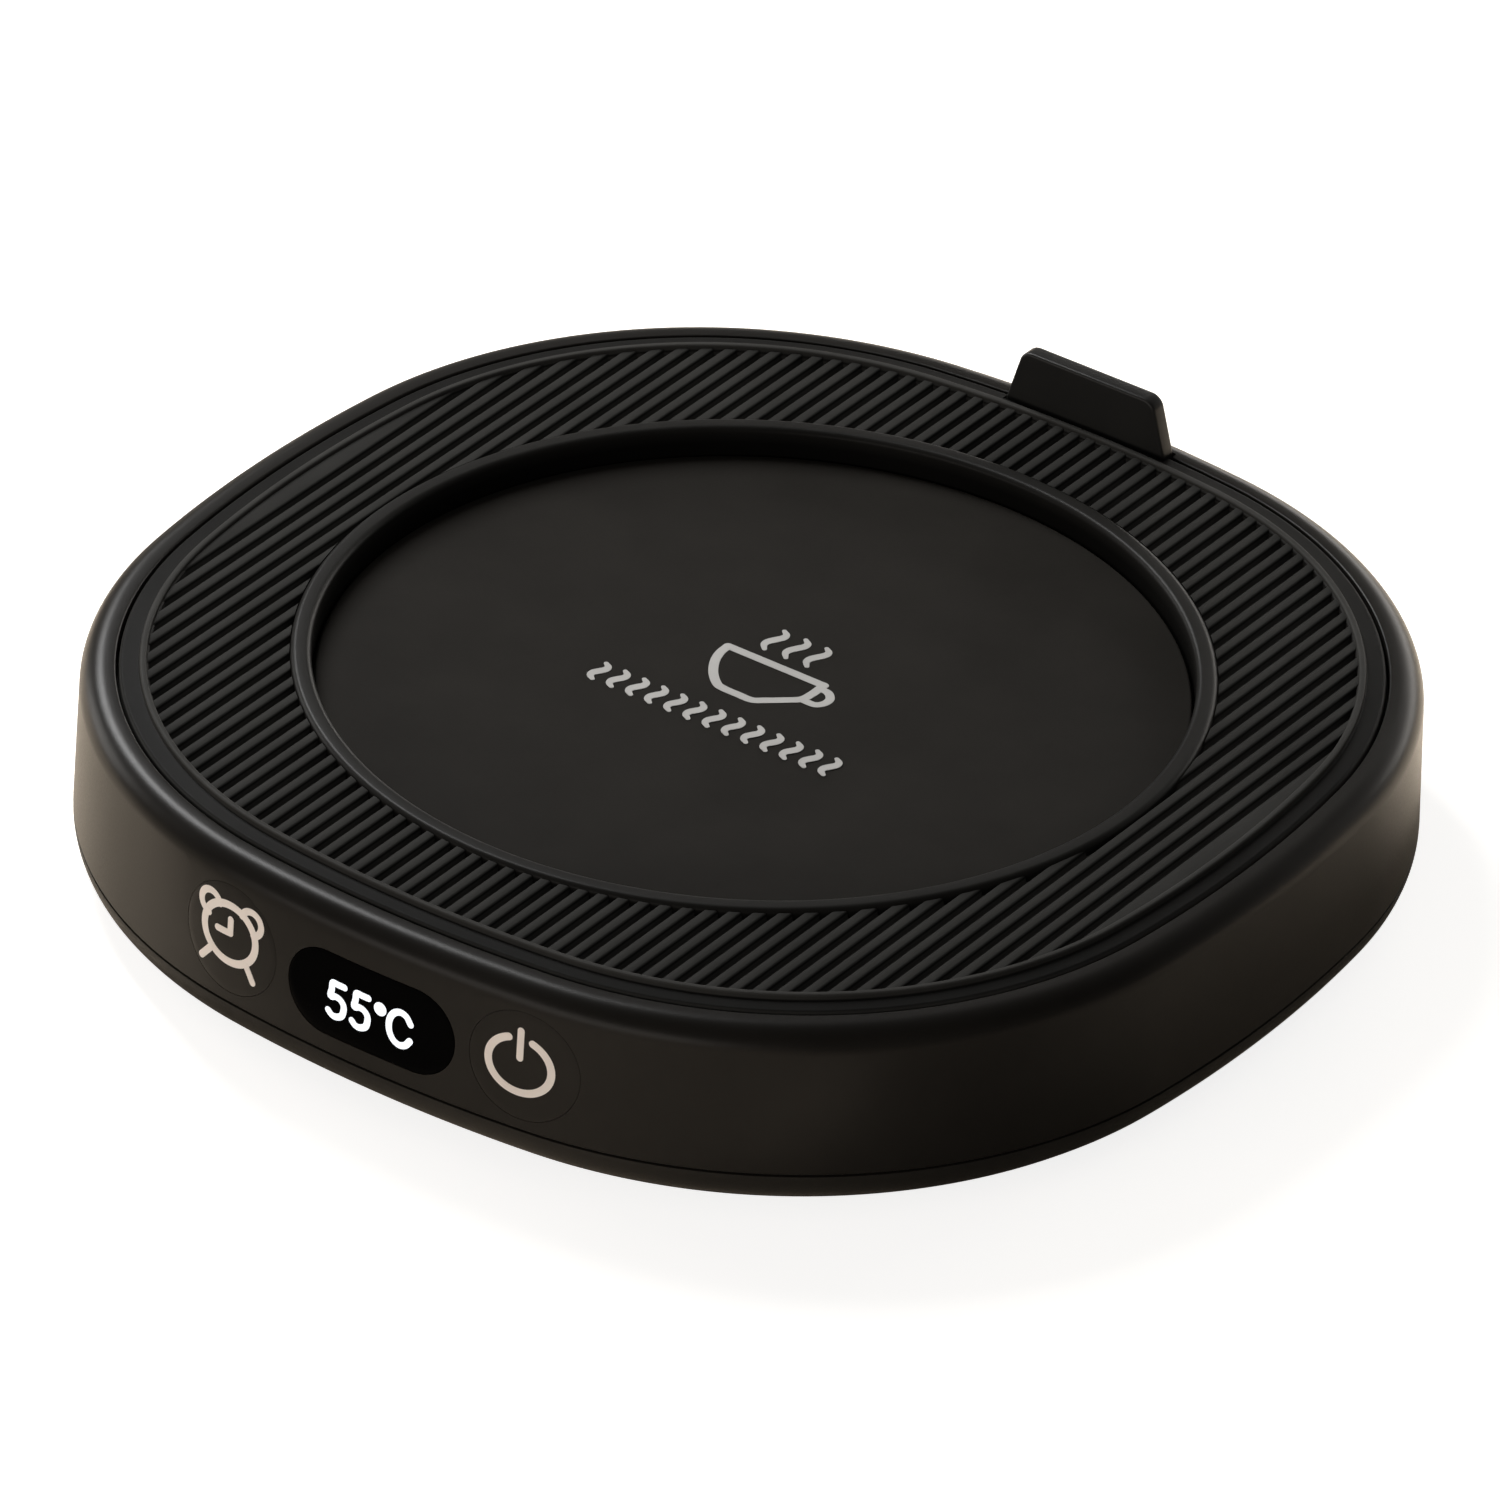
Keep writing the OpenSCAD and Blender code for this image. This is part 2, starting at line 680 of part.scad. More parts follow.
module bottom_cover() {
    color(shell_black) difference() {
        union() {
            round_outline(0.006) bottom_cover_profile();
            disc(half_w - 7, cover_z, floor_z);
            difference() {
                round_outline(0.006) translate([wall_in - joint_clear - 1.4, seam_z - 1])
                    square([1.4, cover_lip_h + 1]);
                translate([-panel_w / 2 - 3, -half_w, seam_z]) cube([panel_w + 6, 12, cover_lip_h + 1]);
            }
            four(post_at) disc(post_r + 0.8, cover_z, post_joint_z);
            for (p = board_posts, s = [-1, 1]) translate([s * p[0], p[1], 0])
                disc(board_post_r, floor_z - eps, board_z);
            board_rails();
        }
        four(post_at) {
            disc(m25_head + 0.3, cover_z - 1, cover_z + counterbore);
            disc(m25_shank + hole_clear, cover_z, post_joint_z + 1);
        }
        for (p = board_posts, s = [-1, 1]) translate([s * p[0], p[1], 0])
            disc(m2_shank + pilot_clear, board_z - 0.79 * (board_z - floor_z), board_z + 1);
        four([foot_at, foot_at]) disc(foot_d / 2 + joint_clear, cover_z - 1, cover_z + foot_pocket);
        window_pocket();
    }
}

// Two slotted posts on the cover that hold the ends of the upright board
module board_rails() {
    slot = panel_t + 0.2;
    for (s = [-1, 1]) difference() {
        translate([s * (panel_w / 2 - rail_bite + rail_w / 2) - rail_w / 2, panel_front - 1.4, floor_z - eps])
            cube([rail_w, slot + 2.6, panel_top - floor_z - 1.5]);
        translate([s > 0 ? -1 : -panel_w / 2 - 0.1, panel_front - 0.1, panel_low])
            cube([panel_w / 2 + 1.1, slot, panel_top]);
    }
}

module cover_screws() {
    color(steel) four(post_at) translate([0, 0, cover_z + counterbore])
        screw_up(m25_shank, m25_head, m25_head_h, post_joint_z - cover_z - counterbore + screw_reach - 0.5);
}

module rubber_feet() {
    round_r = 0.5;
    tall = foot_h + foot_pocket;
    color(rubber) four([foot_at, foot_at]) rotate_extrude() union() {
        translate([0, round_r]) square([foot_d / 2, tall - round_r]);
        square([foot_d / 2 - round_r, tall]);
        translate([foot_d / 2 - round_r, round_r]) circle(r = round_r);
    }
}

upper_housing();
ribbed_deck();
recess_ring();
heating_plate();
plate_gasket();
heater_film();
insulation_disc();
heater_bracket();
bracket_screws();
temperature_sensor();
thermal_fuse();
heater_leads();
display_lens();
display_module();
timer_key();
power_key();
timer_plunger();
power_plunger();
key_switches();
control_board();
board_link();
main_board();
board_components();
buzzer();
board_screws();
power_inlet();
rear_tab();
bottom_cover();
cover_screws();
rubber_feet();
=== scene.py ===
import math

import bmesh
import bpy
import numpy as np
from mathutils import Matrix, Vector


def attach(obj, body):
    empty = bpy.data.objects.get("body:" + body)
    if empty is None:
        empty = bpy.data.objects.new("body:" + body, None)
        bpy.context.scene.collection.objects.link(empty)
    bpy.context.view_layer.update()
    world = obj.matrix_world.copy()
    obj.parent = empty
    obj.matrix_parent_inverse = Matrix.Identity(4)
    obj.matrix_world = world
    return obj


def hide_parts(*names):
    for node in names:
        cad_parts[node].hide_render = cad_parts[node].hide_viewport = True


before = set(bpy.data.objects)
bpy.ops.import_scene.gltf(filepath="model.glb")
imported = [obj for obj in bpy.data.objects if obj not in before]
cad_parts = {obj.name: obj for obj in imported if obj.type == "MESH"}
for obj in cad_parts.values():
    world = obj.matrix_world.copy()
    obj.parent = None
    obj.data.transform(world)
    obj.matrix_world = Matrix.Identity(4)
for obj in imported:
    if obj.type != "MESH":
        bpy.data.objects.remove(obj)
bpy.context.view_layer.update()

# ---- Camera -----------------------------------------------------------------------------------------
# A long lens that looks down on the front right corner. Its azimuth, height and slight roll are angles,
# and it aims a hair to the left of the body's axis, a little below the middle of its height.
azimuth, elevation, roll = math.radians(34.35), math.radians(32.35), math.radians(2.62)
distance, aim_height, aim_left, aim_below = 1.2864, 0.010775, 0.0000615, 0.00062525
level = Vector((math.cos(azimuth), math.sin(azimuth), 0.0))
back = Vector((math.sin(azimuth) * math.cos(elevation), -math.cos(azimuth) * math.cos(elevation),
               math.sin(elevation)))
rise = back.cross(level)
right = math.cos(roll) * level + math.sin(roll) * rise
up = -math.sin(roll) * level + math.cos(roll) * rise
aim = Vector((0.0, 0.0, aim_height)) - aim_left * right - aim_below * up
lens = bpy.data.cameras.new("camera")
lens.sensor_width, lens.lens = 36.0, 332.184
lens.clip_start, lens.clip_end = 0.05, 10.0
camera = bpy.data.objects.new("camera", lens)
bpy.context.scene.collection.objects.link(camera)
camera.matrix_world = Matrix.Translation(aim + distance * back) @ Matrix((right, up, back)).transposed().to_4x4()
bpy.context.scene.camera = camera

# ---- Bottom cover -----------------------------------------------------------------------------------
# The lower shell of black ABS, moulded in one piece: a turned-in side, a flat floor, four foot pockets and four
# screw pockets. It stops a hair below the housing, which leaves the dark seam line. Sizes are in millimetres.
HALF_WIDTH, SIDE_RADIUS, CORNER_RADIUS = 59.0, 140.0, 47.2
SIDE_BEHIND = SIDE_RADIUS - HALF_WIDTH
CORNER_AT = (math.sqrt(2 * (SIDE_RADIUS - CORNER_RADIUS) ** 2 - SIDE_BEHIND ** 2) - SIDE_BEHIND) / 2
SIDE_TURN = math.atan(CORNER_AT / (CORNER_AT + SIDE_BEHIND))
COLUMN_STEP = 1.3
COVER_LOW, COVER_TOP, COVER_BOW, SEAM = 1.2, 4.72, 3.7, 4.9
COVER_INSIDE, FLOOR_IN, FLOOR_ROWS = 3.5, -19.6, 13
FOOT_AT, FOOT_POCKET = 36.0, (6.15, 2.0)
SCREW_AT, SCREW_POCKET = (44.0, 22.0), (2.7, 3.3)


def outline(facing, offset):
    """The body seen from above, moved outwards by offset, where its wall faces the given angle. A bowed side is an
    arc about a point far behind it, and a corner is a tighter arc about its own centre on the diagonal."""
    side = np.round(facing / (np.pi / 2)) * (np.pi / 2)
    turn = facing - side
    bowed = np.abs(turn) <= SIDE_TURN + 1e-9
    out = np.where(bowed, -SIDE_BEHIND, CORNER_AT)
    along = np.where(bowed, 0.0, np.sign(turn) * CORNER_AT)
    radius = np.where(bowed, SIDE_RADIUS, CORNER_RADIUS) + offset
    return np.stack((out * np.cos(side) - along * np.sin(side) + radius * np.cos(facing),
                     out * np.sin(side) + along * np.cos(side) + radius * np.sin(facing)), -1)


def facing_at(x):
    """The angle by which the wall has turned at x along a side: the arc sine of x over the radius of the arc there."""
    x = np.asarray(x, float)
    corner = (np.clip(np.abs(x) - CORNER_AT, 0, CORNER_RADIUS)) / CORNER_RADIUS
    return np.where(np.abs(x) <= SIDE_RADIUS * math.sin(SIDE_TURN),
                    np.arcsin(np.clip(x / SIDE_RADIUS, -1, 1)), np.sign(x) * np.arcsin(corner))


def columns(stops):
    """Facing angles once round the body with every stop among them, about one column step apart, and each stop's
    place in them."""
    angles, places = [], [0]
    for first, last in zip(stops[:-1], stops[1:]):
        middle = (first + last) / 2
        bowed = abs(middle - round(middle / (math.pi / 2)) * (math.pi / 2)) <= SIDE_TURN
        length = abs(last - first) * (SIDE_RADIUS if bowed else CORNER_RADIUS)
        count = max(1, math.ceil(length / COLUMN_STEP))
        angles.append(np.linspace(first, last, count, endpoint=False))
        places.append(places[-1] + count)
    return np.concatenate(angles), places


def arc(x, z, radius, start, end, count):
    """Points of a circle's arc about (x, z), from one angle to the other in degrees."""
    angle = np.radians(np.linspace(start, end, count + 1))
    return np.stack((x + radius * np.cos(angle), z + radius * np.sin(angle)), -1)


def carried(profile, facing):
    """A profile of offsets and heights carried once round the body: each of its points follows its own outline."""
    place = outline(facing[:, None], profile[None, :, 0])
    height = np.broadcast_to(profile[None, :, 1:], place.shape[:2] + (1,))
    return np.concatenate((place, height), -1)


def at_height(flat, z):
    """Flat points (x, y) laid at one height, or each at its own."""
    return np.concatenate((flat, np.broadcast_to(z, flat.shape[:-1])[..., None]), -1)


def shell(grid, wrap_rows=False, wrap_across=False, left_out=None):
    """A grid of points with four-sided faces between neighbours, as one part of a piece. The grid may close on itself
    in either direction, and left_out masks the faces that a window takes away."""
    rows, across = grid.shape[:2]
    i, j = np.meshgrid(np.arange(rows if wrap_rows else rows - 1), np.arange(across if wrap_across else across - 1),
                       indexing="ij")
    after, beside = (i + 1) % rows, (j + 1) % across
    faces = np.stack((i * across + j, after * across + j, after * across + beside, i * across + beside), -1)
    return grid.reshape(-1, 3), faces.reshape(-1, 4) if left_out is None else faces[~left_out]


def lid(ring):
    """One flat face that fills a ring of points."""
    return ring, np.arange(len(ring))[None, :]


def rim_of(cols, rows):
    """Grid places once round the edge of a rectangle of the grid, from its first corner and back to it."""
    col = np.concatenate((cols, np.full(len(rows) - 1, cols[-1]), cols[-2::-1], np.full(len(rows) - 2, cols[0])))
    row = np.concatenate((np.full(len(cols), rows[0]), rows[1:], np.full(len(cols) - 1, rows[-1]), rows[-2:0:-1]))
    return col, row


def drawn_in(edge, centre, radius, straight=0.0):
    """A round-ended hole met by rays from its middle line: each flat point of the window's edge is held to the hole's
    straight part, and the hole's own point lies one radius from there towards the edge."""
    middle = np.array(centre) + np.stack((np.clip(edge[:, 0] - centre[0], -straight, straight), 0 * edge[:, 0]), -1)
    ray = edge - middle
    return middle + radius * ray / np.linalg.norm(ray, axis=1, keepdims=True)


def collar(edge, hole, onto, rows=4):
    """The surface between a hole and its window's edge: straight steps from one to the other, laid onto the wall."""
    step = np.linspace(0, 1, rows)[:, None, None]
    return shell(onto(hole + step * (edge - hole)), wrap_across=True)


def piece(name, shells, finish, nodes=(), body="warmer", merged=1.5e-6, crease=32):
    """Joins the shells, given in millimetres, into one mesh in metres with its faces outwards. Points closer than the
    merged distance become one. Edges sharper than the crease angle stay sharp, and the rest is shaded smooth."""
    faces, start = [], 0
    for points, corners in shells:
        faces += (corners + start).tolist()
        start += len(points)
    mesh = bpy.data.meshes.new(name)
    mesh.from_pydata(np.concatenate([points for points, corners in shells]) * 0.001, [], faces)
    work = bmesh.new()
    work.from_mesh(mesh)
    bmesh.ops.remove_doubles(work, verts=work.verts, dist=merged)
    bmesh.ops.recalc_face_normals(work, faces=work.faces)
    work.to_mesh(mesh)
    work.free()
    mesh.shade_smooth()
    mesh.set_sharp_from_angle(angle=math.radians(crease))
    mesh.materials.append(finish)
    made = bpy.data.objects.new(name, mesh)
    bpy.context.scene.collection.objects.link(made)
    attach(made, body)
    if nodes:
        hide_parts(*nodes)


def feed(made, *inputs, **named):
    """Fills a node's inputs, given in order or by name with _ for a space: a value is set, and an output is linked. A
    node stands for its first output."""
    for label, given in (*enumerate(inputs), *named.items()):
        target = made.inputs[label.replace("_", " ") if isinstance(label, str) else label]
        if isinstance(given, (bpy.types.Node, bpy.types.NodeSocket)):
            made.id_data.links.new(given.outputs[0] if isinstance(given, bpy.types.Node) else given, target)
        else:
            target.default_value = given
    return made


def node(tree, kind, *inputs, **named):
    """A shader node of a kind, which its operation may follow after a space, with its inputs filled."""
    kind, _, operation = kind.partition(" ")
    made = tree.nodes.new("ShaderNode" + kind)
    if operation:
        made.operation = operation
    return feed(made, *inputs, **named)


def ranged(source, start, end, before, after):
    """A value that goes evenly from one level to another while the source goes from start to end."""
    return node(source.id_data, "MapRange", source, From_Min=start, From_Max=end, To_Min=before, To_Max=after)


def place_on(tree):
    """The place on the piece, in metres: its Object coordinates."""
    return node(tree, "TexCoord").outputs["Object"]


def skin_group(name, **usual):
    """An empty shader node group that puts out a skin's Color, Roughness and Height, with its inputs' usual values."""
    group = bpy.data.node_groups.new(name, "ShaderNodeTree")
    for label, value in usual.items():
        kind = "NodeSocketFloat" if isinstance(value, float) else "NodeSocketColor"
        group.interface.new_socket(name=label.replace("_", " "), in_out="INPUT", socket_type=kind).default_value = value
    for label, kind in (("Color", "Color"), ("Roughness", "Float"), ("Height", "Float")):
        group.interface.new_socket(name=label, in_out="OUTPUT", socket_type="NodeSocket" + kind)
    return group, group.nodes.new("NodeGroupInput").outputs, group.nodes.new("NodeGroupOutput")


# Spark-eroded grain of a moulded surface: fine pits that vary its roughness, and a slower mottle that shifts its tone.
grain, given, result = skin_group("moulded_grain", Color=(0.01, 0.01, 0.01, 1.0), Grain_Scale=4500.0, Mottle=0.12,
                                  Roughness=0.5, Spread=0.06)
where = place_on(grain)
pits = node(grain, "TexNoise", where, Scale=given["Grain Scale"], Detail=3.0, Roughness=0.65)
broad = node(grain, "TexNoise", where, Scale=95.0, Detail=4.0, Roughness=0.55)
sway = node(grain, "Math MULTIPLY", ranged(broad, 0.3, 0.7, -1.0, 1.0), given["Mottle"])
fleck = ranged(pits, 0.25, 0.75, -1.0, 1.0)
feed(result, Color=node(grain, "VectorMath SCALE", given["Color"], Scale=node(grain, "Math ADD", sway, 1.0)),
     Roughness=node(grain, "Math MULTIPLY_ADD", fleck, given["Spread"], given["Roughness"]), Height=pits)


def new_finish(name, **even):
    """A material with its tree and its Principled shader, whose even values are set on the shader's own sockets."""
    made = bpy.data.materials.new(name)
    made.use_nodes = True
    return made, made.node_tree, feed(made.node_tree.nodes["Principled BSDF"], **even)


def textured(shader, color, roughness, height, depth):
    """Feeds a shader its colour and roughness, and a bump of the given depth that follows the height."""
    feed(shader, Base_Color=color, Roughness=roughness,
         Normal=node(shader.id_data, "Bump", Distance=depth, Height=height))


def skinned(name, group, depth, even, **values):
    """A material whose colour, roughness and bump come from a skin group, placed in it with its own values."""
    made, tree, shader = new_finish(name, **even)
    skin = tree.nodes.new("ShaderNodeGroup")
    skin.node_tree = group
    textured(shader, *feed(skin, **values).outputs, depth)
    return made


def moulded(name, color, roughness, grain_scale=4500.0, depth=0.000012, mottle=0.12, spread=0.06, level=0.5):
    """A moulded or coated surface with its grain: the grain's scale, the depth of its pits in metres, and the shares by
    which tone and roughness vary."""
    return skinned(name, grain, depth, {"Specular_IOR_Level": level}, Color=(*color, 1.0), Grain_Scale=grain_scale,
                   Mottle=mottle, Roughness=roughness, Spread=spread)


def painted_light_by_height(made, stops):
    """Scales a moulded surface's colour by its height to paint light and shade into it: pairs of a height in
    millimetres and a share, joined by straight ramps. A share above one paints light, and a share below one paints
    shade."""
    tree = made.node_tree
    z = node(tree, "SeparateXYZ", place_on(tree)).outputs["Z"]
    color, low = tree.nodes["Group"].outputs["Color"], stops[0][1]
    for (start, share), (end, share_next) in zip(stops[:-1], stops[1:]):
        ramp = ranged(z, start * 0.001, end * 0.001, low, low * share_next / share)
        color, low = node(tree, "VectorMath SCALE", color, Scale=ramp), 1.0
    feed(tree.nodes["Principled BSDF"], Base_Color=color)


# Facing angles in degrees where pockets begin and end, and each kind of pocket by its width in degrees. The left and
# right sides have two screw pockets each, and a foot pocket lies at each corner.
side_stops = np.array([-33.5, -24.3, -12.3, 12.3, 24.3, 33.5])
pocket_stops = np.concatenate((side_stops, side_stops[[0, -1]] + 90, side_stops + 180, side_stops[[0, -1]] + 270,
                               side_stops[:1] + 360))
pockets = {12: (SCREW_AT, SCREW_POCKET), 23: (FOOT_AT, FOOT_POCKET)}
cover_facing, cover_places = columns(np.radians(pocket_stops))
side_curve = arc(-COVER_BOW, COVER_TOP, COVER_BOW, 0, -62, 12)[1:]
foot_curve = np.array([(-2.07, COVER_LOW + 0.06), (-2.24, COVER_LOW + 0.012), (-2.5, COVER_LOW)])
floor_rows = np.stack((np.linspace(-4.6, FLOOR_IN, FLOOR_ROWS), np.full(FLOOR_ROWS, COVER_LOW)), -1)
inside = np.array([(FLOOR_IN, COVER_INSIDE), (-3.8, COVER_INSIDE), (-3.8, SEAM - 0.02), (-0.95, SEAM - 0.02),
                   (-0.9, SEAM - 0.07), (-0.9, COVER_TOP), (-0.12, COVER_TOP), (-0.03, COVER_TOP - 0.03)])
cover_grid = carried(np.concatenate((side_curve, foot_curve, floor_rows, inside)), cover_facing)
floor_at = len(side_curve) + len(foot_curve) + np.arange(FLOOR_ROWS)
taken = np.zeros(cover_grid.shape[:2], bool)
taken[:, floor_at[-1]] = True
cover_shells = []
for start, end, width in zip(cover_places[:-1], cover_places[1:], np.diff(pocket_stops).round()):
    if width in pockets:
        at, (radius, ceiling) = pockets[width]
        cols = np.arange(start, end + 1)
        taken[cols[:-1][:, None], floor_at[:-1][None, :]] = True
        edge = cover_grid[rim_of(cols % len(cover_facing), floor_at)][:, :2]
        hole = drawn_in(edge, np.sign(edge[0]) * at, radius)
        wall = np.stack((at_height(hole, COVER_LOW), at_height(hole, ceiling)))
        cover_shells += [collar(edge, hole, lambda flat: at_height(flat, COVER_LOW)), shell(wall, wrap_across=True),
                         lid(wall[1])]
cover_shells.append(shell(cover_grid, True, True, taken))
# The floor's middle, outside and inside, is the innermost ring drawn in to a point.
shrink = np.linspace(1, 0, 8)[:, None, None] * (1, 1, 0) + (0, 0, 1)
cover_shells += [shell(cover_grid[None, :, row] * shrink, wrap_across=True) for row in (floor_at[-1], floor_at[-1] + 1)]
cover_plastic = moulded("cover_plastic", (0.016, 0.0148, 0.013), 0.44, 3600.0, 0.000016, level=0.12)
piece("cover_shell", cover_shells, cover_plastic, nodes=["bottom_cover"])

# ---- Rubber feet ------------------------------------------------------------------------------------
# Four soft black rubber discs, pressed into the pockets of the cover. Their lower edge is rounded and
# their underside is dished a little.
FOOT_R, FOOT_ROUND, FOOT_DISH = 6.0, 0.5, 0.12


def turned(profile, count, at=(0.0, 0.0)):
    """A profile of radii and heights turned once round an upright axis. One that starts off the axis closes on
    itself."""
    angle = np.linspace(0, 2 * np.pi, count, endpoint=False)[:, None]
    radius, height = profile[None, :, 0], np.broadcast_to(profile[None, :, 1], (count, len(profile)))
    grid = np.stack((at[0] + radius * np.cos(angle), at[1] + radius * np.sin(angle), height), -1)
    return shell(grid, wrap_rows=True, wrap_across=profile[0, 0] > 0)


rubber = moulded("foot_rubber", (0.018, 0.018, 0.018), 0.72, 2600.0, 0.00002, level=0.3)
foot_profile = np.concatenate((
    [(0, FOOT_DISH), (4.0, FOOT_DISH), (4.4, 0.0)], arc(FOOT_R - FOOT_ROUND, FOOT_ROUND, FOOT_ROUND, -90, 0, 6),
    [(FOOT_R, FOOT_POCKET[1]), (0, FOOT_POCKET[1])]))
piece("foot_pads", [turned(foot_profile, 96, (x * FOOT_AT, y * FOOT_AT)) for x in (-1, 1) for y in (-1, 1)],
      rubber, nodes=["rubber_feet"])

# ---- Printed boards ---------------------------------------------------------------------------------
# Two green glass-fibre boards: the main one flat on four posts, the upright one in two slotted posts
# behind the front wall. Copper tracks show as raised lines under the lacquer.


def dress(finish, *names):
    """Gives carried-over solids their material."""
    for name in names:
        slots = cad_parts[name].data.materials
        slots.clear()
        slots.append(finish)


lacquer, tree, shader = new_finish("board_lacquer")
tracks = node(tree, "TexBrick", place_on(tree), Scale=420.0, Mortar_Size=0.03, Color1=(0.012, 0.1, 0.035, 1),
              Color2=(0.016, 0.13, 0.045, 1), Mortar=(0.04, 0.22, 0.09, 1)).outputs
textured(shader, tracks["Color"], ranged(tracks["Fac"], 0.0, 1.0, 0.28, 0.4), tracks["Fac"], 0.00003)
dress(lacquer, "main_board", "control_board")

# ---- Parts on the boards ----------------------------------------------------------------------------
# Moulded controller, driver, choke, capacitor and cable plug, the buzzer's case, the two switch bodies
# and the digit module, all of filled thermoplastic with a dull, pitted skin. A vinyl ribbon joins the boards.
dress(moulded("component_resin", (0.028, 0.028, 0.031), 0.55, 1800.0, 0.00003), "board_components")
dress(moulded("buzzer_case", (0.015, 0.015, 0.016), 0.42, 2600.0, 0.00001), "buzzer")
dress(moulded("switch_nylon", (0.05, 0.05, 0.055), 0.5, 2200.0, 0.00002), "key_switches")
dress(moulded("digit_case", (0.09, 0.09, 0.1), 0.45, 2600.0, 0.00001), "display_module")
dress(moulded("ribbon_vinyl", (0.62, 0.6, 0.55), 0.45, 900.0, 0.00003, mottle=0.06), "board_link")

# ---- Metal fittings ---------------------------------------------------------------------------------
# Zinc-plated steel screws, the pressed steel bracket and the drawn shell of the power inlet. The rolled
# or plated skin carries fine drawn lines and a faint cloudiness.
drawn, given, result = skin_group("drawn_metal", Color=(0.6, 0.6, 0.62, 1.0), Lines=3000.0, Roughness=0.32)
where = place_on(drawn)
lines = node(drawn, "TexNoise", node(drawn, "Mapping", where, Scale=(0.04, 1.0, 1.0)), Scale=given["Lines"],
             Detail=2.0, Roughness=0.6)
cloud = node(drawn, "TexNoise", where, Scale=160.0, Detail=3.0)
feed(result, Color=node(drawn, "VectorMath SCALE", given["Color"], Scale=ranged(cloud, 0.3, 0.7, 0.82, 1.08)),
     Roughness=node(drawn, "Math ADD", ranged(lines, 0.3, 0.7, -0.06, 0.1), given["Roughness"]), Height=lines)


def metal(name, color, roughness, lines=3000.0, depth=0.000006):
    """Bare or plated metal with drawn lines: their scale, and their depth in metres."""
    return skinned(name, drawn, depth, {"Metallic": 1.0}, Color=(*color, 1.0), Lines=lines, Roughness=roughness)


def times(first, second):
    """The product of two masks or shares."""
    return node(first.id_data, "Math MULTIPLY", first, second)


dress(metal("zinc_plate", (0.42, 0.43, 0.45), 0.34), "cover_screws", "board_screws", "bracket_screws")
dress(metal("sheet_steel", (0.5, 0.5, 0.5), 0.38, 1800.0, 0.00001), "heater_bracket")
inlet_metal = metal("drawn_shell", (0.48, 0.49, 0.5), 0.28, 4000.0, 0.000004)
dress(inlet_metal, "power_inlet")

# The inlet's tongue is the flat bar in the middle of the shell, black nylon with gilt contacts. A contact covers its
# share of the pitch to either side of its middle.
TONGUE_HALF_X, TONGUE_Z, TONGUE_HALF_Z, TONGUE_BACK = 3.45, 10.23, 0.45, 51.75
CONTACT_FRONT, CONTACT_PITCH, CONTACT_SHARE = 56.7, 0.5, 0.28
tree = inlet_metal.node_tree
x, y, z = node(tree, "SeparateXYZ", place_on(tree)).outputs
bar = times(node(tree, "Math COMPARE", x, 0.0, TONGUE_HALF_X * 0.001),
            node(tree, "Math COMPARE", z, TONGUE_Z * 0.001, TONGUE_HALF_Z * 0.001))
tongue = times(bar, node(tree, "Math GREATER_THAN", y, TONGUE_BACK * 0.001))
pitch = node(tree, "Math FRACT", node(tree, "Math MULTIPLY", x, 1000.0 / CONTACT_PITCH))
contact = times(times(tongue, node(tree, "Math COMPARE", pitch, 0.5, CONTACT_SHARE)),
                node(tree, "Math LESS_THAN", y, CONTACT_FRONT * 0.001))
nylon = node(tree, "MixRGB", tongue, tree.nodes["Group"].outputs["Color"], (0.012, 0.012, 0.013, 1))
feed(tree.nodes["Principled BSDF"], Base_Color=node(tree, "MixRGB", contact, nylon, (0.75, 0.5, 0.2, 1)),
     Metallic=node(tree, "Math ADD", node(tree, "Math SUBTRACT", 1.0, tongue), contact))

# ---- Heater stack -----------------------------------------------------------------------------------
# Below the plate lie a film heater of amber polyimide, a disc of pressed fibre, the sensor's epoxy bead,
# the ceramic cut-out and two silicone leads. A silicone gasket seals the plate's flange.


def banded(source, stops):
    """A colour that follows the source through straight ramps: pairs of a level from 0 to 1 and a colour."""
    made = node(source.id_data, "ValToRGB", source)
    ramp = made.color_ramp.elements
    ramp.remove(ramp[1])
    for i, (position, color) in enumerate(stops):
        stop = ramp.new(position) if i else ramp[0]
        stop.position, stop.color = position, color
    return made


film, tree, shader = new_finish("amber_film")
rings = node(tree, "TexWave", place_on(tree), Scale=300.0)
rings.wave_type, rings.rings_direction = "RINGS", "Z"
trace = rings.outputs["Fac"]
textured(shader, banded(trace, [(0.45, (0.5, 0.19, 0.03, 1)), (0.55, (0.24, 0.1, 0.03, 1))]),
         ranged(trace, 0.0, 1.0, 0.25, 0.4), trace, 0.00004)
dress(film, "heater_film")
dress(moulded("pressed_fibre", (0.62, 0.59, 0.5), 0.9, 700.0, 0.0002, mottle=0.2, level=0.2), "insulation_disc")
dress(moulded("gasket_silicone", (0.02, 0.02, 0.02), 0.6, 1500.0, 0.00001), "plate_gasket")
dress(moulded("epoxy_bead", (0.55, 0.44, 0.22), 0.25, 900.0, 0.00002), "temperature_sensor")
dress(moulded("cutout_ceramic", (0.68, 0.66, 0.6), 0.4, 1400.0, 0.00002), "thermal_fuse")
dress(moulded("lead_silicone", (0.42, 0.02, 0.015), 0.5, 1500.0, 0.00001), "heater_leads")

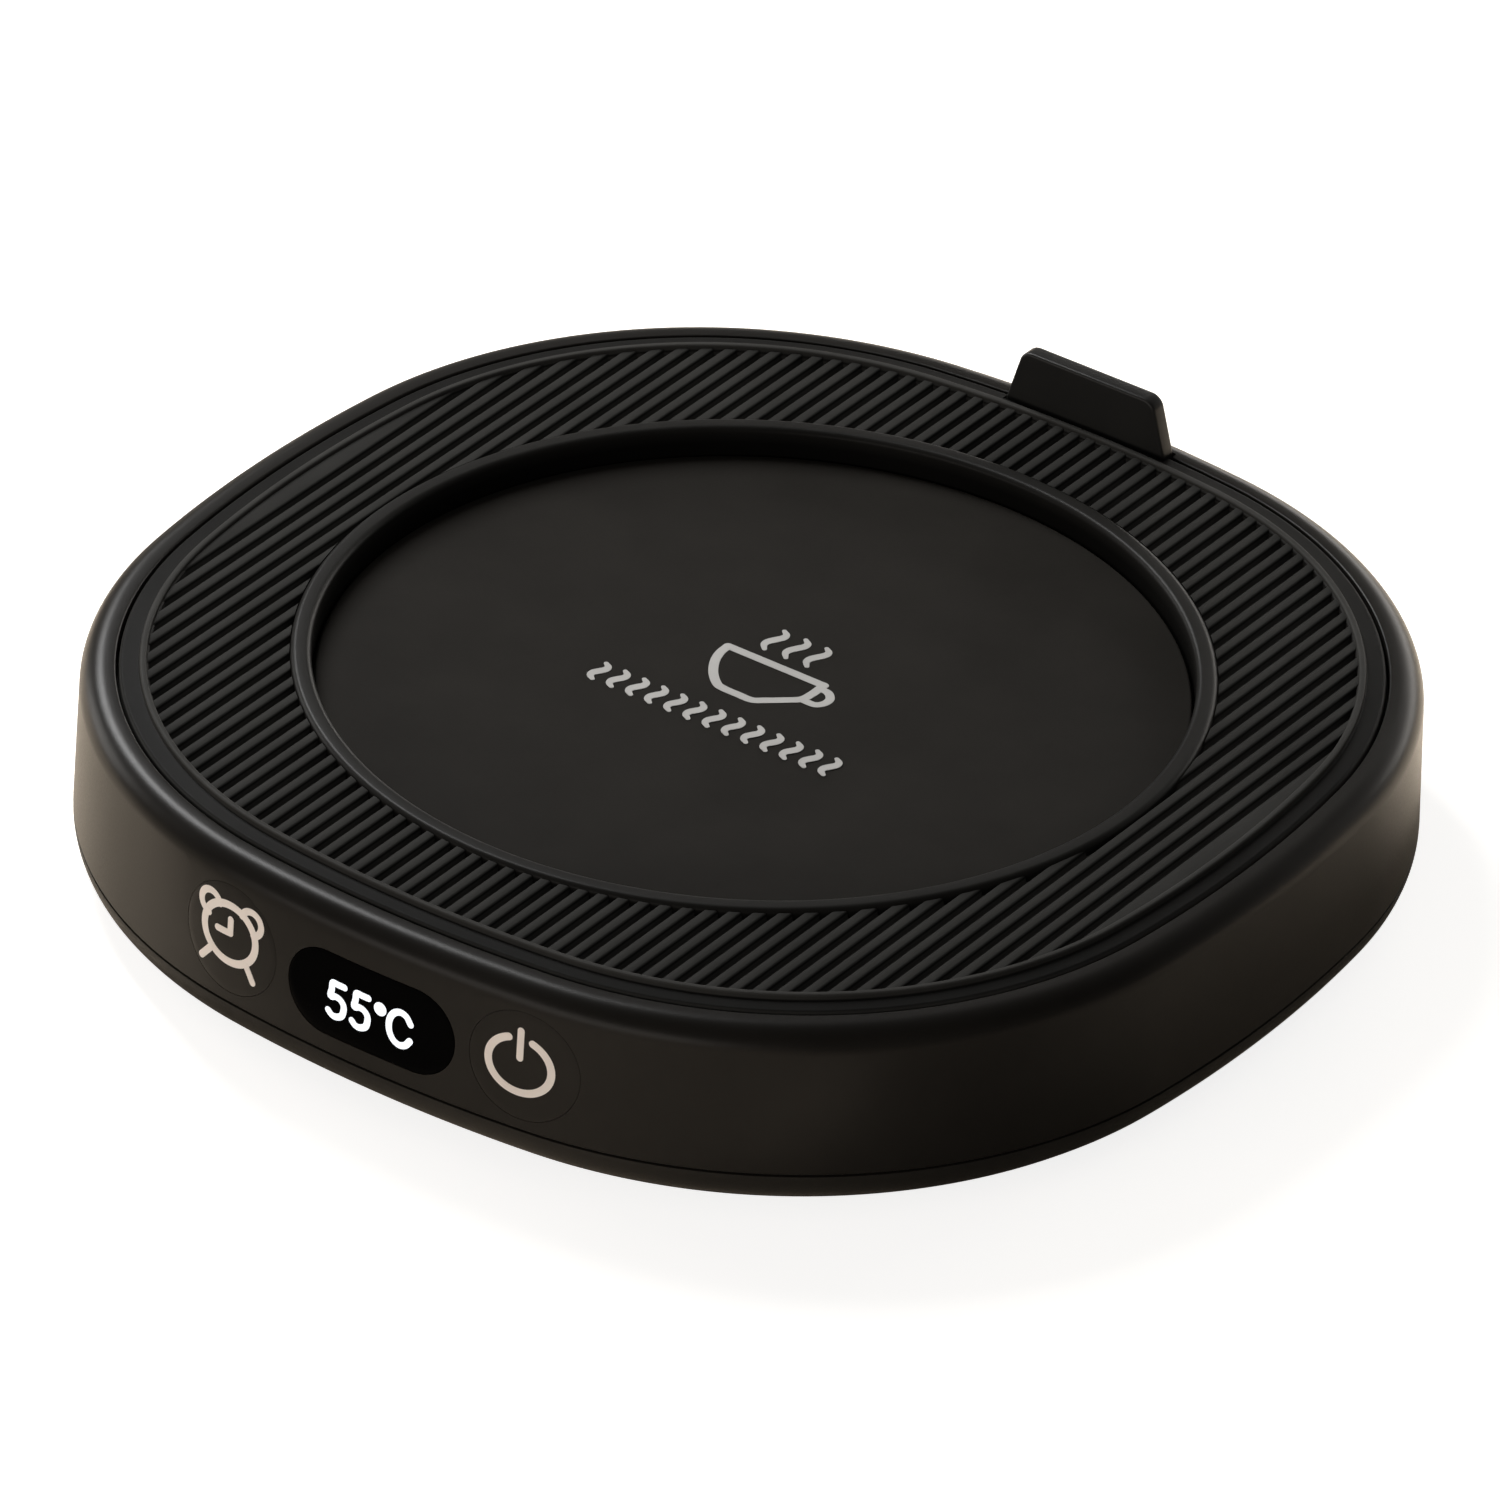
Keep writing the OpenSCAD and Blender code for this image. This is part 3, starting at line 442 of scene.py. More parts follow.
# ---- Upper housing ----------------------------------------------------------------------------------
# One black ABS moulding: a wall that leans in a little, a rounded top edge, a narrow rim and a ledge for
# the deck. The front wall is pierced for the display and two keys, the rear wall for the power inlet.
WALL_STEPS, WALL_LEAN, WALL_T, EDGE_Z, EDGE_R = 18, 0.4, 2.2, 17.3, 2.4
WINDOW_ROWS = WALL_STEPS + 3
RIM_IN, RIM_Z, RIM_ROUND, LEDGE_IN, LEDGE_LOW, DECK_SEAT = -3.74, 19.7, 0.2, -7.54, 17.45, 17.58
KEY_AT, KEY_Z, KEY_R, KEY_CLEAR = 16.5, 11.6, 5.6, 0.035
WINDOW_Z, WINDOW_HALF, WINDOW_STRAIGHT = 11.1, 4.4, 5.0
INLET_Z, INLET_HALF, INLET_STRAIGHT = 10.23, 1.83, 2.84
WINDOW_END, KEY_END, INLET_END = 10.3, 22.9, 6.0
WINDOW_COLUMNS, KEY_COLUMNS, INLET_COLUMNS = 25, 17, 13
NOTCH_X, NOTCH_Y = 9.6, (53.65, 55.75)


def depth_at(x, offset):
    """Distance of the outline, moved outwards by offset, from the middle plane of the body, at x along a side: the
    rise of the side's arc near its middle, of the corner's arc beyond, and of the next side's arc at the end."""
    x = np.abs(x)
    side, corner = SIDE_RADIUS + offset, CORNER_RADIUS + offset
    return np.select(
        [x <= side * math.sin(SIDE_TURN), x <= CORNER_AT + corner * math.cos(SIDE_TURN)],
        [np.sqrt(np.maximum(side ** 2 - x ** 2, 0)) - SIDE_BEHIND,
         CORNER_AT + np.sqrt(np.maximum(corner ** 2 - (x - CORNER_AT) ** 2, 0))],
        np.sqrt(np.maximum(side ** 2 - (x + SIDE_BEHIND) ** 2, 0)))


def wall_offset(z):
    """The outer wall leans in evenly from the seam to the rounded edge, which then follows a quarter circle."""
    above = np.clip(z - EDGE_Z, 0, EDGE_R)
    return np.where(z <= EDGE_Z, -WALL_LEAN * (z - SEAM) / (EDGE_Z - SEAM),
                    -WALL_LEAN - EDGE_R + np.sqrt(EDGE_R ** 2 - above ** 2))


def on_wall(flat, side=-1, inner=False, proud=0.0):
    """Lays flat points (x, z) onto the front or rear wall, or onto its inner face, or lifts them off it."""
    x, z = flat[..., 0], flat[..., 1]
    offset = (-WALL_T - WALL_LEAN * (z - SEAM) / (LEDGE_LOW - SEAM) if inner else wall_offset(z)) + proud
    return np.stack((x, side * depth_at(x, offset), z), -1)


# The columns of the wall fall on the edges of every window, so that each window is a rectangle of the grid.
key_edge = np.linspace(WINDOW_END, KEY_END, KEY_COLUMNS)
window_edge = np.linspace(-WINDOW_END, WINDOW_END, WINDOW_COLUMNS)
inlet_edge = np.linspace(-INLET_END, INLET_END, INLET_COLUMNS)
front_x = np.concatenate((-key_edge[::-1], window_edge[1:-1], key_edge))
rear_x = np.concatenate(([-NOTCH_X, -NOTCH_X], inlet_edge, [NOTCH_X, NOTCH_X]))
front_stops = facing_at(front_x) - np.pi / 2
rear_stops = np.pi / 2 - facing_at(rear_x[::-1])
facing, places = columns(np.concatenate((
    front_stops, [-SIDE_TURN, SIDE_TURN], rear_stops, [np.pi - SIDE_TURN, np.pi + SIDE_TURN],
    [front_stops[0] + 2 * np.pi])))
front_place = dict(zip(np.round(front_x, 3), places))
rear_places = places[len(front_stops) + 2:][:len(rear_x)]
in_notch = np.zeros(len(facing), bool)
in_notch[rear_places[1]:rear_places[-2] + 1] = True

outer_wall = np.stack((np.linspace(0, -WALL_LEAN, WALL_STEPS + 1), np.linspace(SEAM, EDGE_Z, WALL_STEPS + 1)), -1)
outer_wall[0] = (wall_offset(SEAM + 0.1), SEAM + 0.1)
inner_wall = np.stack((np.linspace(-WALL_T - WALL_LEAN, -WALL_T, WINDOW_ROWS),
                       np.linspace(LEDGE_LOW, SEAM, WINDOW_ROWS)), -1)
top_edge = arc(-WALL_LEAN - EDGE_R, EDGE_Z, EDGE_R, 0, 90, 18)[1:]
rim_edge = arc(RIM_IN + RIM_ROUND, RIM_Z - RIM_ROUND, RIM_ROUND, 90, 180, 5)
ledge = np.array([(RIM_IN, DECK_SEAT), (LEDGE_IN, DECK_SEAT), (LEDGE_IN, LEDGE_LOW)])
body_grid = carried(np.concatenate((outer_wall, top_edge, rim_edge, ledge, inner_wall, [(-0.1, SEAM)])), facing)

# The rim is notched at the back for the tab: there its inner edge stops further out.
notch = np.ix_(in_notch, len(outer_wall) + len(top_edge) + np.arange(len(rim_edge) + 1), [1])
body_grid[notch] = np.maximum(body_grid[notch], NOTCH_Y[1])

# Each window of the wall has its first and last column, the side it is on, and its hole's middle, radius and straight
# part.
outer_at = np.arange(WINDOW_ROWS)
inner_at = body_grid.shape[1] - 2 - np.arange(WINDOW_ROWS)
taken = np.zeros(body_grid.shape[:2], bool)
housing_shells = []
holes = [(front_place[-KEY_END], front_place[-WINDOW_END], -1, (-KEY_AT, KEY_Z), KEY_R + KEY_CLEAR, 0.0),
         (front_place[-WINDOW_END], front_place[WINDOW_END], -1, (0.0, WINDOW_Z), WINDOW_HALF, WINDOW_STRAIGHT),
         (front_place[WINDOW_END], front_place[KEY_END], -1, (KEY_AT, KEY_Z), KEY_R + KEY_CLEAR, 0.0),
         (rear_places[2], rear_places[-3], 1, (0.0, INLET_Z), INLET_HALF, INLET_STRAIGHT)]
for first, last, side, centre, radius, straight in holes:
    cols = np.arange(first, last + 1)
    taken[cols[:-1][:, None], outer_at[None, :-1]] = True
    taken[cols[:-1][:, None], inner_at[None, 1:]] = True
    edge_out = body_grid[rim_of(cols, outer_at)][:, [0, 2]]
    edge_in = body_grid[rim_of(cols, inner_at)][:, [0, 2]]
    hole = drawn_in(edge_out, centre, radius, straight)
    housing_shells += [collar(edge_out, hole, lambda flat: on_wall(flat, side)),
                       collar(edge_in, hole, lambda flat: on_wall(flat, side, True)),
                       shell(np.stack((on_wall(hole, side), on_wall(hole, side, True))), wrap_across=True)]
housing_shells.append(shell(body_grid, True, True, taken))
black_abs = {"color": (0.0118, 0.0107, 0.0094), "roughness": 0.33, "grain_scale": 4600.0, "depth": 0.000004,
             "spread": 0.04, "level": 0.11}
housing_plastic = moulded("housing_plastic", **black_abs)
piece("housing_shell", housing_shells, housing_plastic, nodes=["upper_housing"])

# ---- Display window ---------------------------------------------------------------------------------
# A glossy black window of smoked acrylic with round ends, flush with the wall and clamped by a flange
# behind it. The numerals behind it shine cold white.
LENS_CLEAR, LENS_BACK, LENS_FLANGE, LENS_FLANGE_T = 0.1, -55.04, 1.0, 0.8
DIGIT_LOW, DIGIT_AT, DIGIT_WIDTH = 8.58, (-4.98, -2.26, 1.86), 0.68
PAINT_T, PAINT_PROUD, PAINT_STEP = 0.05, 0.02, 0.004


def slot_rings(radii, straight, centre, count=40, step=0.8):
    """Round-ended shapes about one middle line, one for each radius: two half circles moved apart by the straight
    part, with points about one step apart on the straight edges between them."""
    along = np.linspace(straight, -straight, max(1, round(2 * straight / step)) + 1)[1:-1]
    end = np.linspace(-90, 90, count + 1)
    angle = np.radians(np.concatenate((end, np.full(len(along), 90), end + 180, np.full(len(along), 270))))
    shift = np.concatenate((np.full(count + 1, straight), along, np.full(count + 1, -straight), -along))
    radii = np.asarray(radii, float)[:, None]
    return np.stack((centre[0] + shift + radii * np.cos(angle), centre[1] + radii * np.sin(angle)), -1)


def cap(centre, half, straight, back_y, soft=0.04, rings=9):
    """A button or window whose face lies flush on the wall: rings of the same round-ended shape from its middle line
    out to a softened edge, then straight back to back_y, where it is flat."""
    bend = np.radians(np.linspace(0, 90, 5))[1:]
    radii = np.concatenate((np.linspace(0, 1, rings) * (half - soft), half - soft + soft * np.sin(bend)))
    face = on_wall(slot_rings(radii, straight, centre))
    face[..., 1] += np.concatenate((np.zeros(rings), soft * (1 - np.cos(bend))))[:, None]
    behind = np.insert(slot_rings((half, half / 2, 0), straight, centre), 1, back_y, axis=2)
    return shell(np.concatenate((face, behind)), wrap_across=True)


def slab(outline_xz, y_front, y_back):
    """A flat plate: an upright outline pushed from one depth to the other, closed at both."""
    grid = np.stack([np.insert(outline_xz, 1, y, axis=1) for y in (y_front, y_back)])
    return [shell(grid, wrap_across=True), lid(grid[0]), lid(grid[1])]


smoked, tree, shader = new_finish("smoked_acrylic", Specular_IOR_Level=0.012)
haze = node(tree, "TexNoise", place_on(tree), Scale=260.0, Detail=3.0)
feed(shader, Base_Color=node(tree, "MixRGB", haze, (0.0002, 0.0003, 0.0005, 1), (0.0004, 0.0005, 0.0008, 1)),
     Roughness=ranged(haze, 0.35, 0.7, 0.05, 0.11))
flange = slot_rings([WINDOW_HALF + LENS_FLANGE], WINDOW_STRAIGHT, (0, WINDOW_Z))[0]
window = [cap((0.0, WINDOW_Z), WINDOW_HALF - LENS_CLEAR, WINDOW_STRAIGHT, LENS_BACK - LENS_FLANGE_T / 2)]
piece("display_window", window + slab(flange, LENS_BACK - LENS_FLANGE_T, LENS_BACK), smoked,
      nodes=["display_lens"])


def stroke(path, width, onto, rise, ends=1.0, closed=False):
    """A painted stroke: the path set off to both sides by half its width, which narrows to a share of itself along a
    sine towards the ends and runs out there in half circles. It stands proud of its surface by the rise."""
    swell = ends + (1 - ends) * np.sin(np.linspace(0, np.pi, len(path)))
    half = width / 2 * swell
    if closed:
        along = np.roll(path, -1, axis=0) - np.roll(path, 1, axis=0)
    else:
        turn = np.radians(np.linspace(0, 90, 7))[:-1]
        run = np.gradient(path, axis=0)
        run /= np.linalg.norm(run, axis=1, keepdims=True)
        head = path[0] - run[0] * half[0] * np.cos(turn)[:, None]
        tail = path[-1] + run[-1] * half[-1] * np.cos(turn)[::-1, None]
        path = np.concatenate((head, path, tail))
        half = np.concatenate((np.sin(turn) * half[0], half, np.sin(turn)[::-1] * half[-1]))
        along = np.gradient(path, axis=0)
    along /= np.linalg.norm(along, axis=1, keepdims=True)
    aside = np.stack((-along[:, 1], along[:, 0]), -1) * half[:, None]
    flat = np.stack((path + aside, path - aside, path - aside, path + aside), 1)
    return shell(onto(flat, np.array([rise, rise, rise - PAINT_T, rise - PAINT_T])), wrap_rows=closed, wrap_across=True)


def sign(strokes, onto, at=(0.0, 0.0)):
    """A sign of several strokes about its own middle: each is a path and a width, then the share to which its ends
    narrow and whether it closes. Each lies one paint step higher than the one before it, so that they cross cleanly."""
    return [stroke(np.add(path, at), width, onto, PAINT_PROUD + PAINT_STEP * i, *more)
            for i, (path, width, *more) in enumerate(strokes)]


def curve(knots, count):
    """A smooth line through its knots: on each span a cubic whose slopes come from the neighbouring knots."""
    knots = np.asarray(knots, float)
    reached = np.concatenate((2 * knots[:1] - knots[1:2], knots, 2 * knots[-1:] - knots[-2:-1]))
    spans = len(knots) - 1
    t = np.linspace(0, spans, count)
    i = np.minimum(t.astype(int), spans - 1)
    u = (t - i)[:, None]
    a, b, c, d = (reached[i + k] for k in range(4))
    return 0.5 * (2 * b + (c - a) * u + (2 * a - 5 * b + 4 * c - d) * u ** 2 + (3 * b - a - 3 * c + d) * u ** 3)


def oval(x, z, half_x, half_z, start=0.0, end=360.0, count=73):
    """Part of an oval about (x, z), from one angle to the other in degrees."""
    angle = np.radians(np.linspace(start, end, count))
    return np.stack((x + half_x * np.cos(angle), z + half_z * np.sin(angle)), -1)


def on_front(flat, lift):
    """Flat points (x, z) laid on the front wall, each lifted off it."""
    return on_wall(flat, proud=lift)


glow, tree, shader = new_finish("digit_light", Base_Color=(0.5, 0.55, 0.6, 1), Specular_IOR_Level=0.2,
                                Emission_Strength=0.95)
cells = node(tree, "TexNoise", place_on(tree), Scale=2200.0, Detail=1.0)
feed(shader, Emission_Color=node(tree, "MixRGB", cells, (0.86, 0.92, 1.0, 1), (0.97, 0.99, 1.0, 1)))
five = curve([(2.1, 3.85), (1.4, 3.85), (0.78, 3.83), (0.68, 3.1), (0.56, 2.35), (1.1, 2.5), (1.65, 2.4), (2.06, 2.0),
              (2.12, 1.4), (1.9, 0.75), (1.3, 0.42), (0.78, 0.46), (0.38, 0.8)], 70)
big_c = curve([(2.72, 2.95), (2.25, 3.6), (1.6, 3.82), (0.95, 3.55), (0.5, 2.9), (0.36, 2.1), (0.5, 1.3),
               (0.95, 0.65), (1.6, 0.38), (2.25, 0.6), (2.72, 1.2)], 60)
digits = [(glyph + (x, DIGIT_LOW), DIGIT_WIDTH) for glyph, x in zip((five, five, big_c), DIGIT_AT)]
degree = (oval(1.2, 11.85, 0.37, 0.37, count=25)[:-1], 0.64, 1.0, True)
piece("display_digits", sign([*digits, degree], on_front), glow)

# ---- Keys -------------------------------------------------------------------------------------------
# Two round press keys of the housing's plastic, flush with the wall, each on a body of its own. Wings behind
# the wall keep them in, and a rod of acetal passes each press on to its switch. The signs, a clock and the power
# sign, are pad-printed in warm white.
KEY_BACK, WING_BACK, WING_REACH, WING_HALF = -53.97, -52.97, 6.7, 2.0
key_plastic = moulded("key_plastic", **black_abs)
paint = moulded("warm_white_print", (0.93, 0.84, 0.77), 0.6, 3000.0, 0.000006, mottle=0.03, level=0.3)
wings = np.array([(-WING_REACH, -WING_HALF), (WING_REACH, -WING_HALF), (WING_REACH, WING_HALF),
                  (-WING_REACH, WING_HALF)])
clock = [(oval(0, 0, 3.2, 2.95)[:-1], 0.8, 1.0, True),
         (oval(-2.5, 2.25, 1.2, 1.2, 15, 260, 30), 0.72), (oval(2.6, 2.2, 1.2, 1.2, 165, -75, 30), 0.72),
         ([(-2.3, -2.5), (-2.85, -3.15), (-3.4, -3.8)], 0.72), ([(2.2, -2.5), (2.65, -3.2), (3.05, -3.85)], 0.72),
         ([(0.1, 1.5), (0.1, 0.8), (0.1, 0.1)], 0.7), ([(0.1, 0.08), (-0.7, 0.02), (-1.5, 0.0)], 0.7)]
power = [(oval(0, 0, 3.22, 2.82, 112.5, 427.5, 64), 0.78), ([(0.0, 3.6), (0.0, 2.0), (0.0, 0.75)], 0.7)]
for body, key, middle, mark, mark_at in (("timer_button", "timer_key", -KEY_AT, clock, (-16.65, 12.1)),
                                         ("power_button", "power_key", KEY_AT, power, (16.1, 11.6))):
    key_shells = [cap((middle, KEY_Z), KEY_R, 0.0, WING_BACK)]
    key_shells += slab(wings + (middle, KEY_Z), KEY_BACK, WING_BACK + 0.01)
    piece(key + "_cap", key_shells, key_plastic, nodes=[key], body=body)
    piece(key + "_sign", sign(mark, on_front, mark_at), paint, body=body)
dress(moulded("plunger_acetal", (0.68, 0.66, 0.58), 0.35, 2400.0, 0.000008, mottle=0.05),
      "timer_plunger", "power_plunger")

# ---- Ribbed deck ------------------------------------------------------------------------------------
# A separate panel of heat-resistant black plastic, snapped onto the ledge. Straight ribs run from front to
# back, a raised bead closes them in, and a flat band lies outside it. The round opening takes the recess.
DECK_LOW, DECK_Z, GROOVE_Z, RIB_PITCH, LAST_GROOVE = 17.6, 20.0, 19.2, 1.82, 27
OPENING_R, BEAD_IN, BAND_IN, DECK_EDGE, BAND_Z, BEAD_Z = 43.05, -6.6, -5.9, -4.04, 19.8, 20.35
EDGE_ROUND, BAND_FILLET, BEAD_ROUND = 0.35, 0.12, 0.24
half_rib = np.array([(0.0, GROOVE_Z), (0.27, GROOVE_Z), (0.34, GROOVE_Z + 0.07), (0.37, DECK_Z - 0.2),
                     (0.405, DECK_Z - 0.09), (0.475, DECK_Z - 0.025), (0.56, DECK_Z)])
one_groove = np.concatenate((half_rib[::-1] * [-1, 1], half_rib[1:]))
grooves = (np.arange(-LAST_GROOVE - 1, LAST_GROOVE + 1) + 0.5) * RIB_PITCH
rib_x = (grooves[:, None] + one_groove[None, :, 0]).ravel()
rib_z = np.tile(one_groove[:, 1], len(grooves))

# The ribbed field is two grids of columns, in front of the opening and behind it, whose ends lie inside the bead.
far = HALF_WIDTH + BEAD_IN + 0.25
crossing = np.array([-OPENING_R, OPENING_R])
edge_x = np.array([-far, -(far + rib_x[-1]) / 2, (far + rib_x[-1]) / 2, far])
all_x = np.concatenate((rib_x, edge_x, crossing))
all_z = np.concatenate((rib_z, np.full(4, DECK_Z), np.interp(crossing, rib_x, rib_z)))
order = np.argsort(all_x, kind="stable")
deck_x, deck_top = all_x[order, None], all_z[order, None]
near = np.sqrt(np.maximum(OPENING_R ** 2 - deck_x ** 2, 0))
reach = depth_at(deck_x, BEAD_IN + 0.3)
opening = np.abs(deck_x[:, 0]) <= OPENING_R + 1e-6
deck_shells = []
for side in (-1, 1):
    y = side * (near + (reach - near) * np.linspace(0, 1, 7))
    upper, lower = (np.stack(np.broadcast_arrays(deck_x, y, z), -1) for z in (deck_top, DECK_LOW))
    deck_shells += [shell(upper), shell(lower)] + [shell(np.stack(walls, 1)) for walls in (
        (upper[:, -1], lower[:, -1]), (upper[opening, 0], lower[opening, 0]), (upper[0], lower[0]),
        (upper[-1], lower[-1]))]
bead = np.concatenate((
    [(BEAD_IN - 0.15, DECK_LOW), (DECK_EDGE, DECK_LOW)],
    arc(DECK_EDGE - EDGE_ROUND, BAND_Z - EDGE_ROUND, EDGE_ROUND, 0, 90, 6),
    arc(BAND_IN + BAND_FILLET, BAND_Z + BAND_FILLET, BAND_FILLET, 270, 180, 4),
    arc(BAND_IN - BEAD_ROUND, BEAD_Z - BEAD_ROUND, BEAD_ROUND, 0, 90, 6),
    arc(BEAD_IN + BEAD_ROUND, BEAD_Z - BEAD_ROUND, BEAD_ROUND, 90, 180, 6),
    [(BEAD_IN, DECK_Z - 0.05), (BEAD_IN - 0.15, DECK_Z - 0.2)]))
band_grid = carried(bead, facing)
notch = np.ix_(in_notch, np.where(bead[:, 0] > BAND_IN + 0.13)[0], [1])
band_grid[notch] = np.minimum(band_grid[notch], NOTCH_Y[0])
deck_plastic = moulded("deck_plastic", (0.026, 0.0255, 0.024), 0.44, 4200.0, 0.000008, level=0.02)
# Painted light and shade by height: the groove floors painted lighter, painted shade on the groove walls that also
# darkens the flat band at that height, the rib tops lighter, and a painted highlight on the bead's crest.
painted_light_by_height(deck_plastic, [(19.55, 2.2), (19.76, 0.5), (19.82, 0.5), (19.92, 1.3), (20.15, 1.3), (20.33, 1.9)])
piece("deck_panel", deck_shells + [shell(band_grid, True, True)], deck_plastic,
      nodes=["ribbed_deck"])

# ---- Recess ring ------------------------------------------------------------------------------------
# The smooth rounded lip and wall of the recess, turned as one ring of glass-filled plastic. Its flange is
# clamped under the deck, and the mug stands inside it.
RECESS_R, LIP_R, LIP_TOP, LIP_ROUND, RING_LOW, RING_FLANGE_R = 41.0, 43.0, 20.3, 0.6, 16.4, 46.5
RING_COLUMNS = 288
ring_profile = np.concatenate((
    [(RECESS_R, RING_LOW), (RING_FLANGE_R, RING_LOW), (RING_FLANGE_R, DECK_SEAT), (LIP_R, DECK_SEAT)],
    arc(LIP_R - LIP_ROUND, LIP_TOP - LIP_ROUND, LIP_ROUND, 0, 90, 8),
    arc(RECESS_R + LIP_ROUND, LIP_TOP - LIP_ROUND, LIP_ROUND, 90, 180, 8)))
ring_plastic = moulded("ring_plastic", (0.0135, 0.013, 0.012), 0.38, 4600.0, 0.000006, level=0.06)
# Painted shade down the recess wall, and a painted highlight along the top of the lip.
painted_light_by_height(ring_plastic, [(18.6, 0.3), (20.2, 1.0), (20.3, 1.25)])
piece("recess_lip", [turned(ring_profile, RING_COLUMNS)], ring_plastic, nodes=["recess_ring"])

# ---- Heating plate ----------------------------------------------------------------------------------
# A turned aluminium disc with a flange, coated in a dark, finely textured non-stick finish. A cup with
# steam is printed on it in grey white, and a row of wavy heat strokes below it.
PLATE_R, PLATE_Z, PLATE_LOW, PLATE_FLANGE_R, PLATE_FLANGE_Z, PLATE_ROUND = 40.75, 17.4, 15.0, 44.5, 16.0, 0.3
plate_profile = np.concatenate((
    [(0, PLATE_LOW), (PLATE_FLANGE_R, PLATE_LOW), (PLATE_FLANGE_R, PLATE_FLANGE_Z), (PLATE_R, PLATE_FLANGE_Z)],
    arc(PLATE_R - PLATE_ROUND, PLATE_Z - PLATE_ROUND, PLATE_ROUND, 0, 90, 5),
    [(PLATE_R * 0.66, PLATE_Z), (PLATE_R * 0.33, PLATE_Z), (0, PLATE_Z)]))
plate_coat = moulded("plate_coating", (0.021, 0.0192, 0.0168), 0.66, 5200.0, 0.00001, mottle=0.1, level=0.025)
piece("warming_plate", [turned(plate_profile, RING_COLUMNS)], plate_coat,
      nodes=["heating_plate"])

brim = [(-5.6, 3.75), (-2.0, 3.75), (1.5, 3.75), (5.35, 3.75)]
bowl = [(-5.6, 3.75), (-5.5, 2.3), (-4.95, 0.7), (-3.9, -0.95), (-2.6, -2.2), (-1.7, -2.52), (0.0, -2.56),
        (1.6, -2.52), (2.6, -1.8), (4.0, -0.6), (5.1, 0.5), (5.35, 1.8), (5.35, 3.6)]
handle = [(5.5, 3.05), (6.4, 2.95), (7.15, 2.2), (7.2, 1.2), (6.6, 0.5), (5.4, 0.45)]
steam = curve([(-0.25, 1.9), (0.3, 1.45), (0.36, 0.85), (0.0, 0.15), (-0.36, -0.55), (-0.36, -1.2), (0.15, -1.85)], 40)
heat = curve([(-0.3, 1.5), (0.22, 1.1), (0.3, 0.55), (0.0, 0.0), (-0.3, -0.55), (-0.22, -1.1), (0.3, -1.5)], 30)
strokes = [(brim, 0.95), (curve(bowl, 110), 0.92), (curve(handle, 40), 0.85)]
strokes += [(steam + (x, 7.3), 0.9, 0.5) for x in (-2.8, -0.35, 2.05)]
strokes += [(heat + (x, -7.4), 0.9, 0.5) for x in np.linspace(-12.3, 14.0, 13)]
plate_paint = moulded("plate_print", (0.5, 0.49, 0.47), 0.62, 2600.0, 0.000008, mottle=0.1, level=0.3)
piece("plate_mark", sign(strokes, lambda flat, lift: at_height(flat, PLATE_Z + lift)), plate_paint)

# ---- Rear tab ---------------------------------------------------------------------------------------
# A small upright plate of smooth black plastic with rounded corners, plugged into the deck's rear edge by
# two pegs. Its edges are eased.
TAB_Y, TAB_T, TAB_EASE, TAB_LOW, TAB_WAIST, TAB_TOP = 53.8, 1.8, 0.3, 17.6, 20.0, 25.6
TAB_HALF, TAB_TOP_HALF, TAB_ROUND, TAB_TOP_ROUND = 9.1, 7.5, 0.31, 1.4
PEG_X, PEG_R, PEG_LOW, PEG_TOP = 5, 1.1, 16.3, 17.61


def rounded_outline(corners, inset, steps=8):
    """Corners given as x, z and a rounding radius, drawn in by the inset: each corner becomes an arc about the point
    where its two sides, moved in by the radius, meet."""
    spots, radius = corners[:, :2], corners[:, 2]
    ahead = np.roll(spots, -1, axis=0) - spots
    ahead /= np.linalg.norm(ahead, axis=1, keepdims=True)
    behind = np.roll(ahead, 1, axis=0)
    out_ahead, out_behind = (np.stack((run[:, 1], -run[:, 0]), -1) for run in (ahead, behind))
    start, end = (np.arctan2(out[:, 1], out[:, 0]) for out in (out_behind, out_ahead))
    end = start + (end - start + np.pi) % (2 * np.pi) - np.pi
    bisect = out_ahead + out_behind
    bisect /= np.linalg.norm(bisect, axis=1, keepdims=True)
    centre = spots - bisect * (radius / np.sum(bisect * out_ahead, axis=1))[:, None]
    angle = start[:, None] + (end - start)[:, None] * np.linspace(0, 1, steps)
    arcs = centre[:, None] + (radius - inset)[:, None, None] * np.stack((np.cos(angle), np.sin(angle)), -1)
    return arcs.reshape(-1, 2)


tab_side = np.array([(TAB_HALF, TAB_LOW, TAB_ROUND), (TAB_HALF, TAB_WAIST, TAB_ROUND),
                     (TAB_TOP_HALF, TAB_TOP, TAB_TOP_ROUND)])
tab_corners = np.concatenate((tab_side, tab_side[::-1] * (-1, 1, 1)))
bend = np.radians(np.linspace(0, 90, 6))
insets, tab_y = TAB_EASE * (1 - np.sin(bend)), TAB_Y + TAB_EASE * (1 - np.cos(bend))
insets, tab_y = np.append(insets, insets[::-1]), np.append(tab_y, (2 * TAB_Y + TAB_T - tab_y)[::-1])
tab_grid = np.stack([np.insert(rounded_outline(tab_corners, inset), 1, y, axis=1) for inset, y in zip(insets, tab_y)])
peg_profile = np.array([(0, PEG_LOW), (PEG_R, PEG_LOW), (PEG_R, PEG_TOP), (0, PEG_TOP)])
pegs = [turned(peg_profile, 32, (x, TAB_Y + TAB_T / 2)) for x in (-PEG_X, PEG_X)]
tab_plastic = moulded("tab_plastic", (0.018, 0.0178, 0.017), 0.34, 5200.0, 0.000005, level=0.15)
piece("rear_tab_plate", [shell(tab_grid, wrap_across=True), lid(tab_grid[0]), lid(tab_grid[-1])] + pegs, tab_plastic,
      nodes=["rear_tab"])

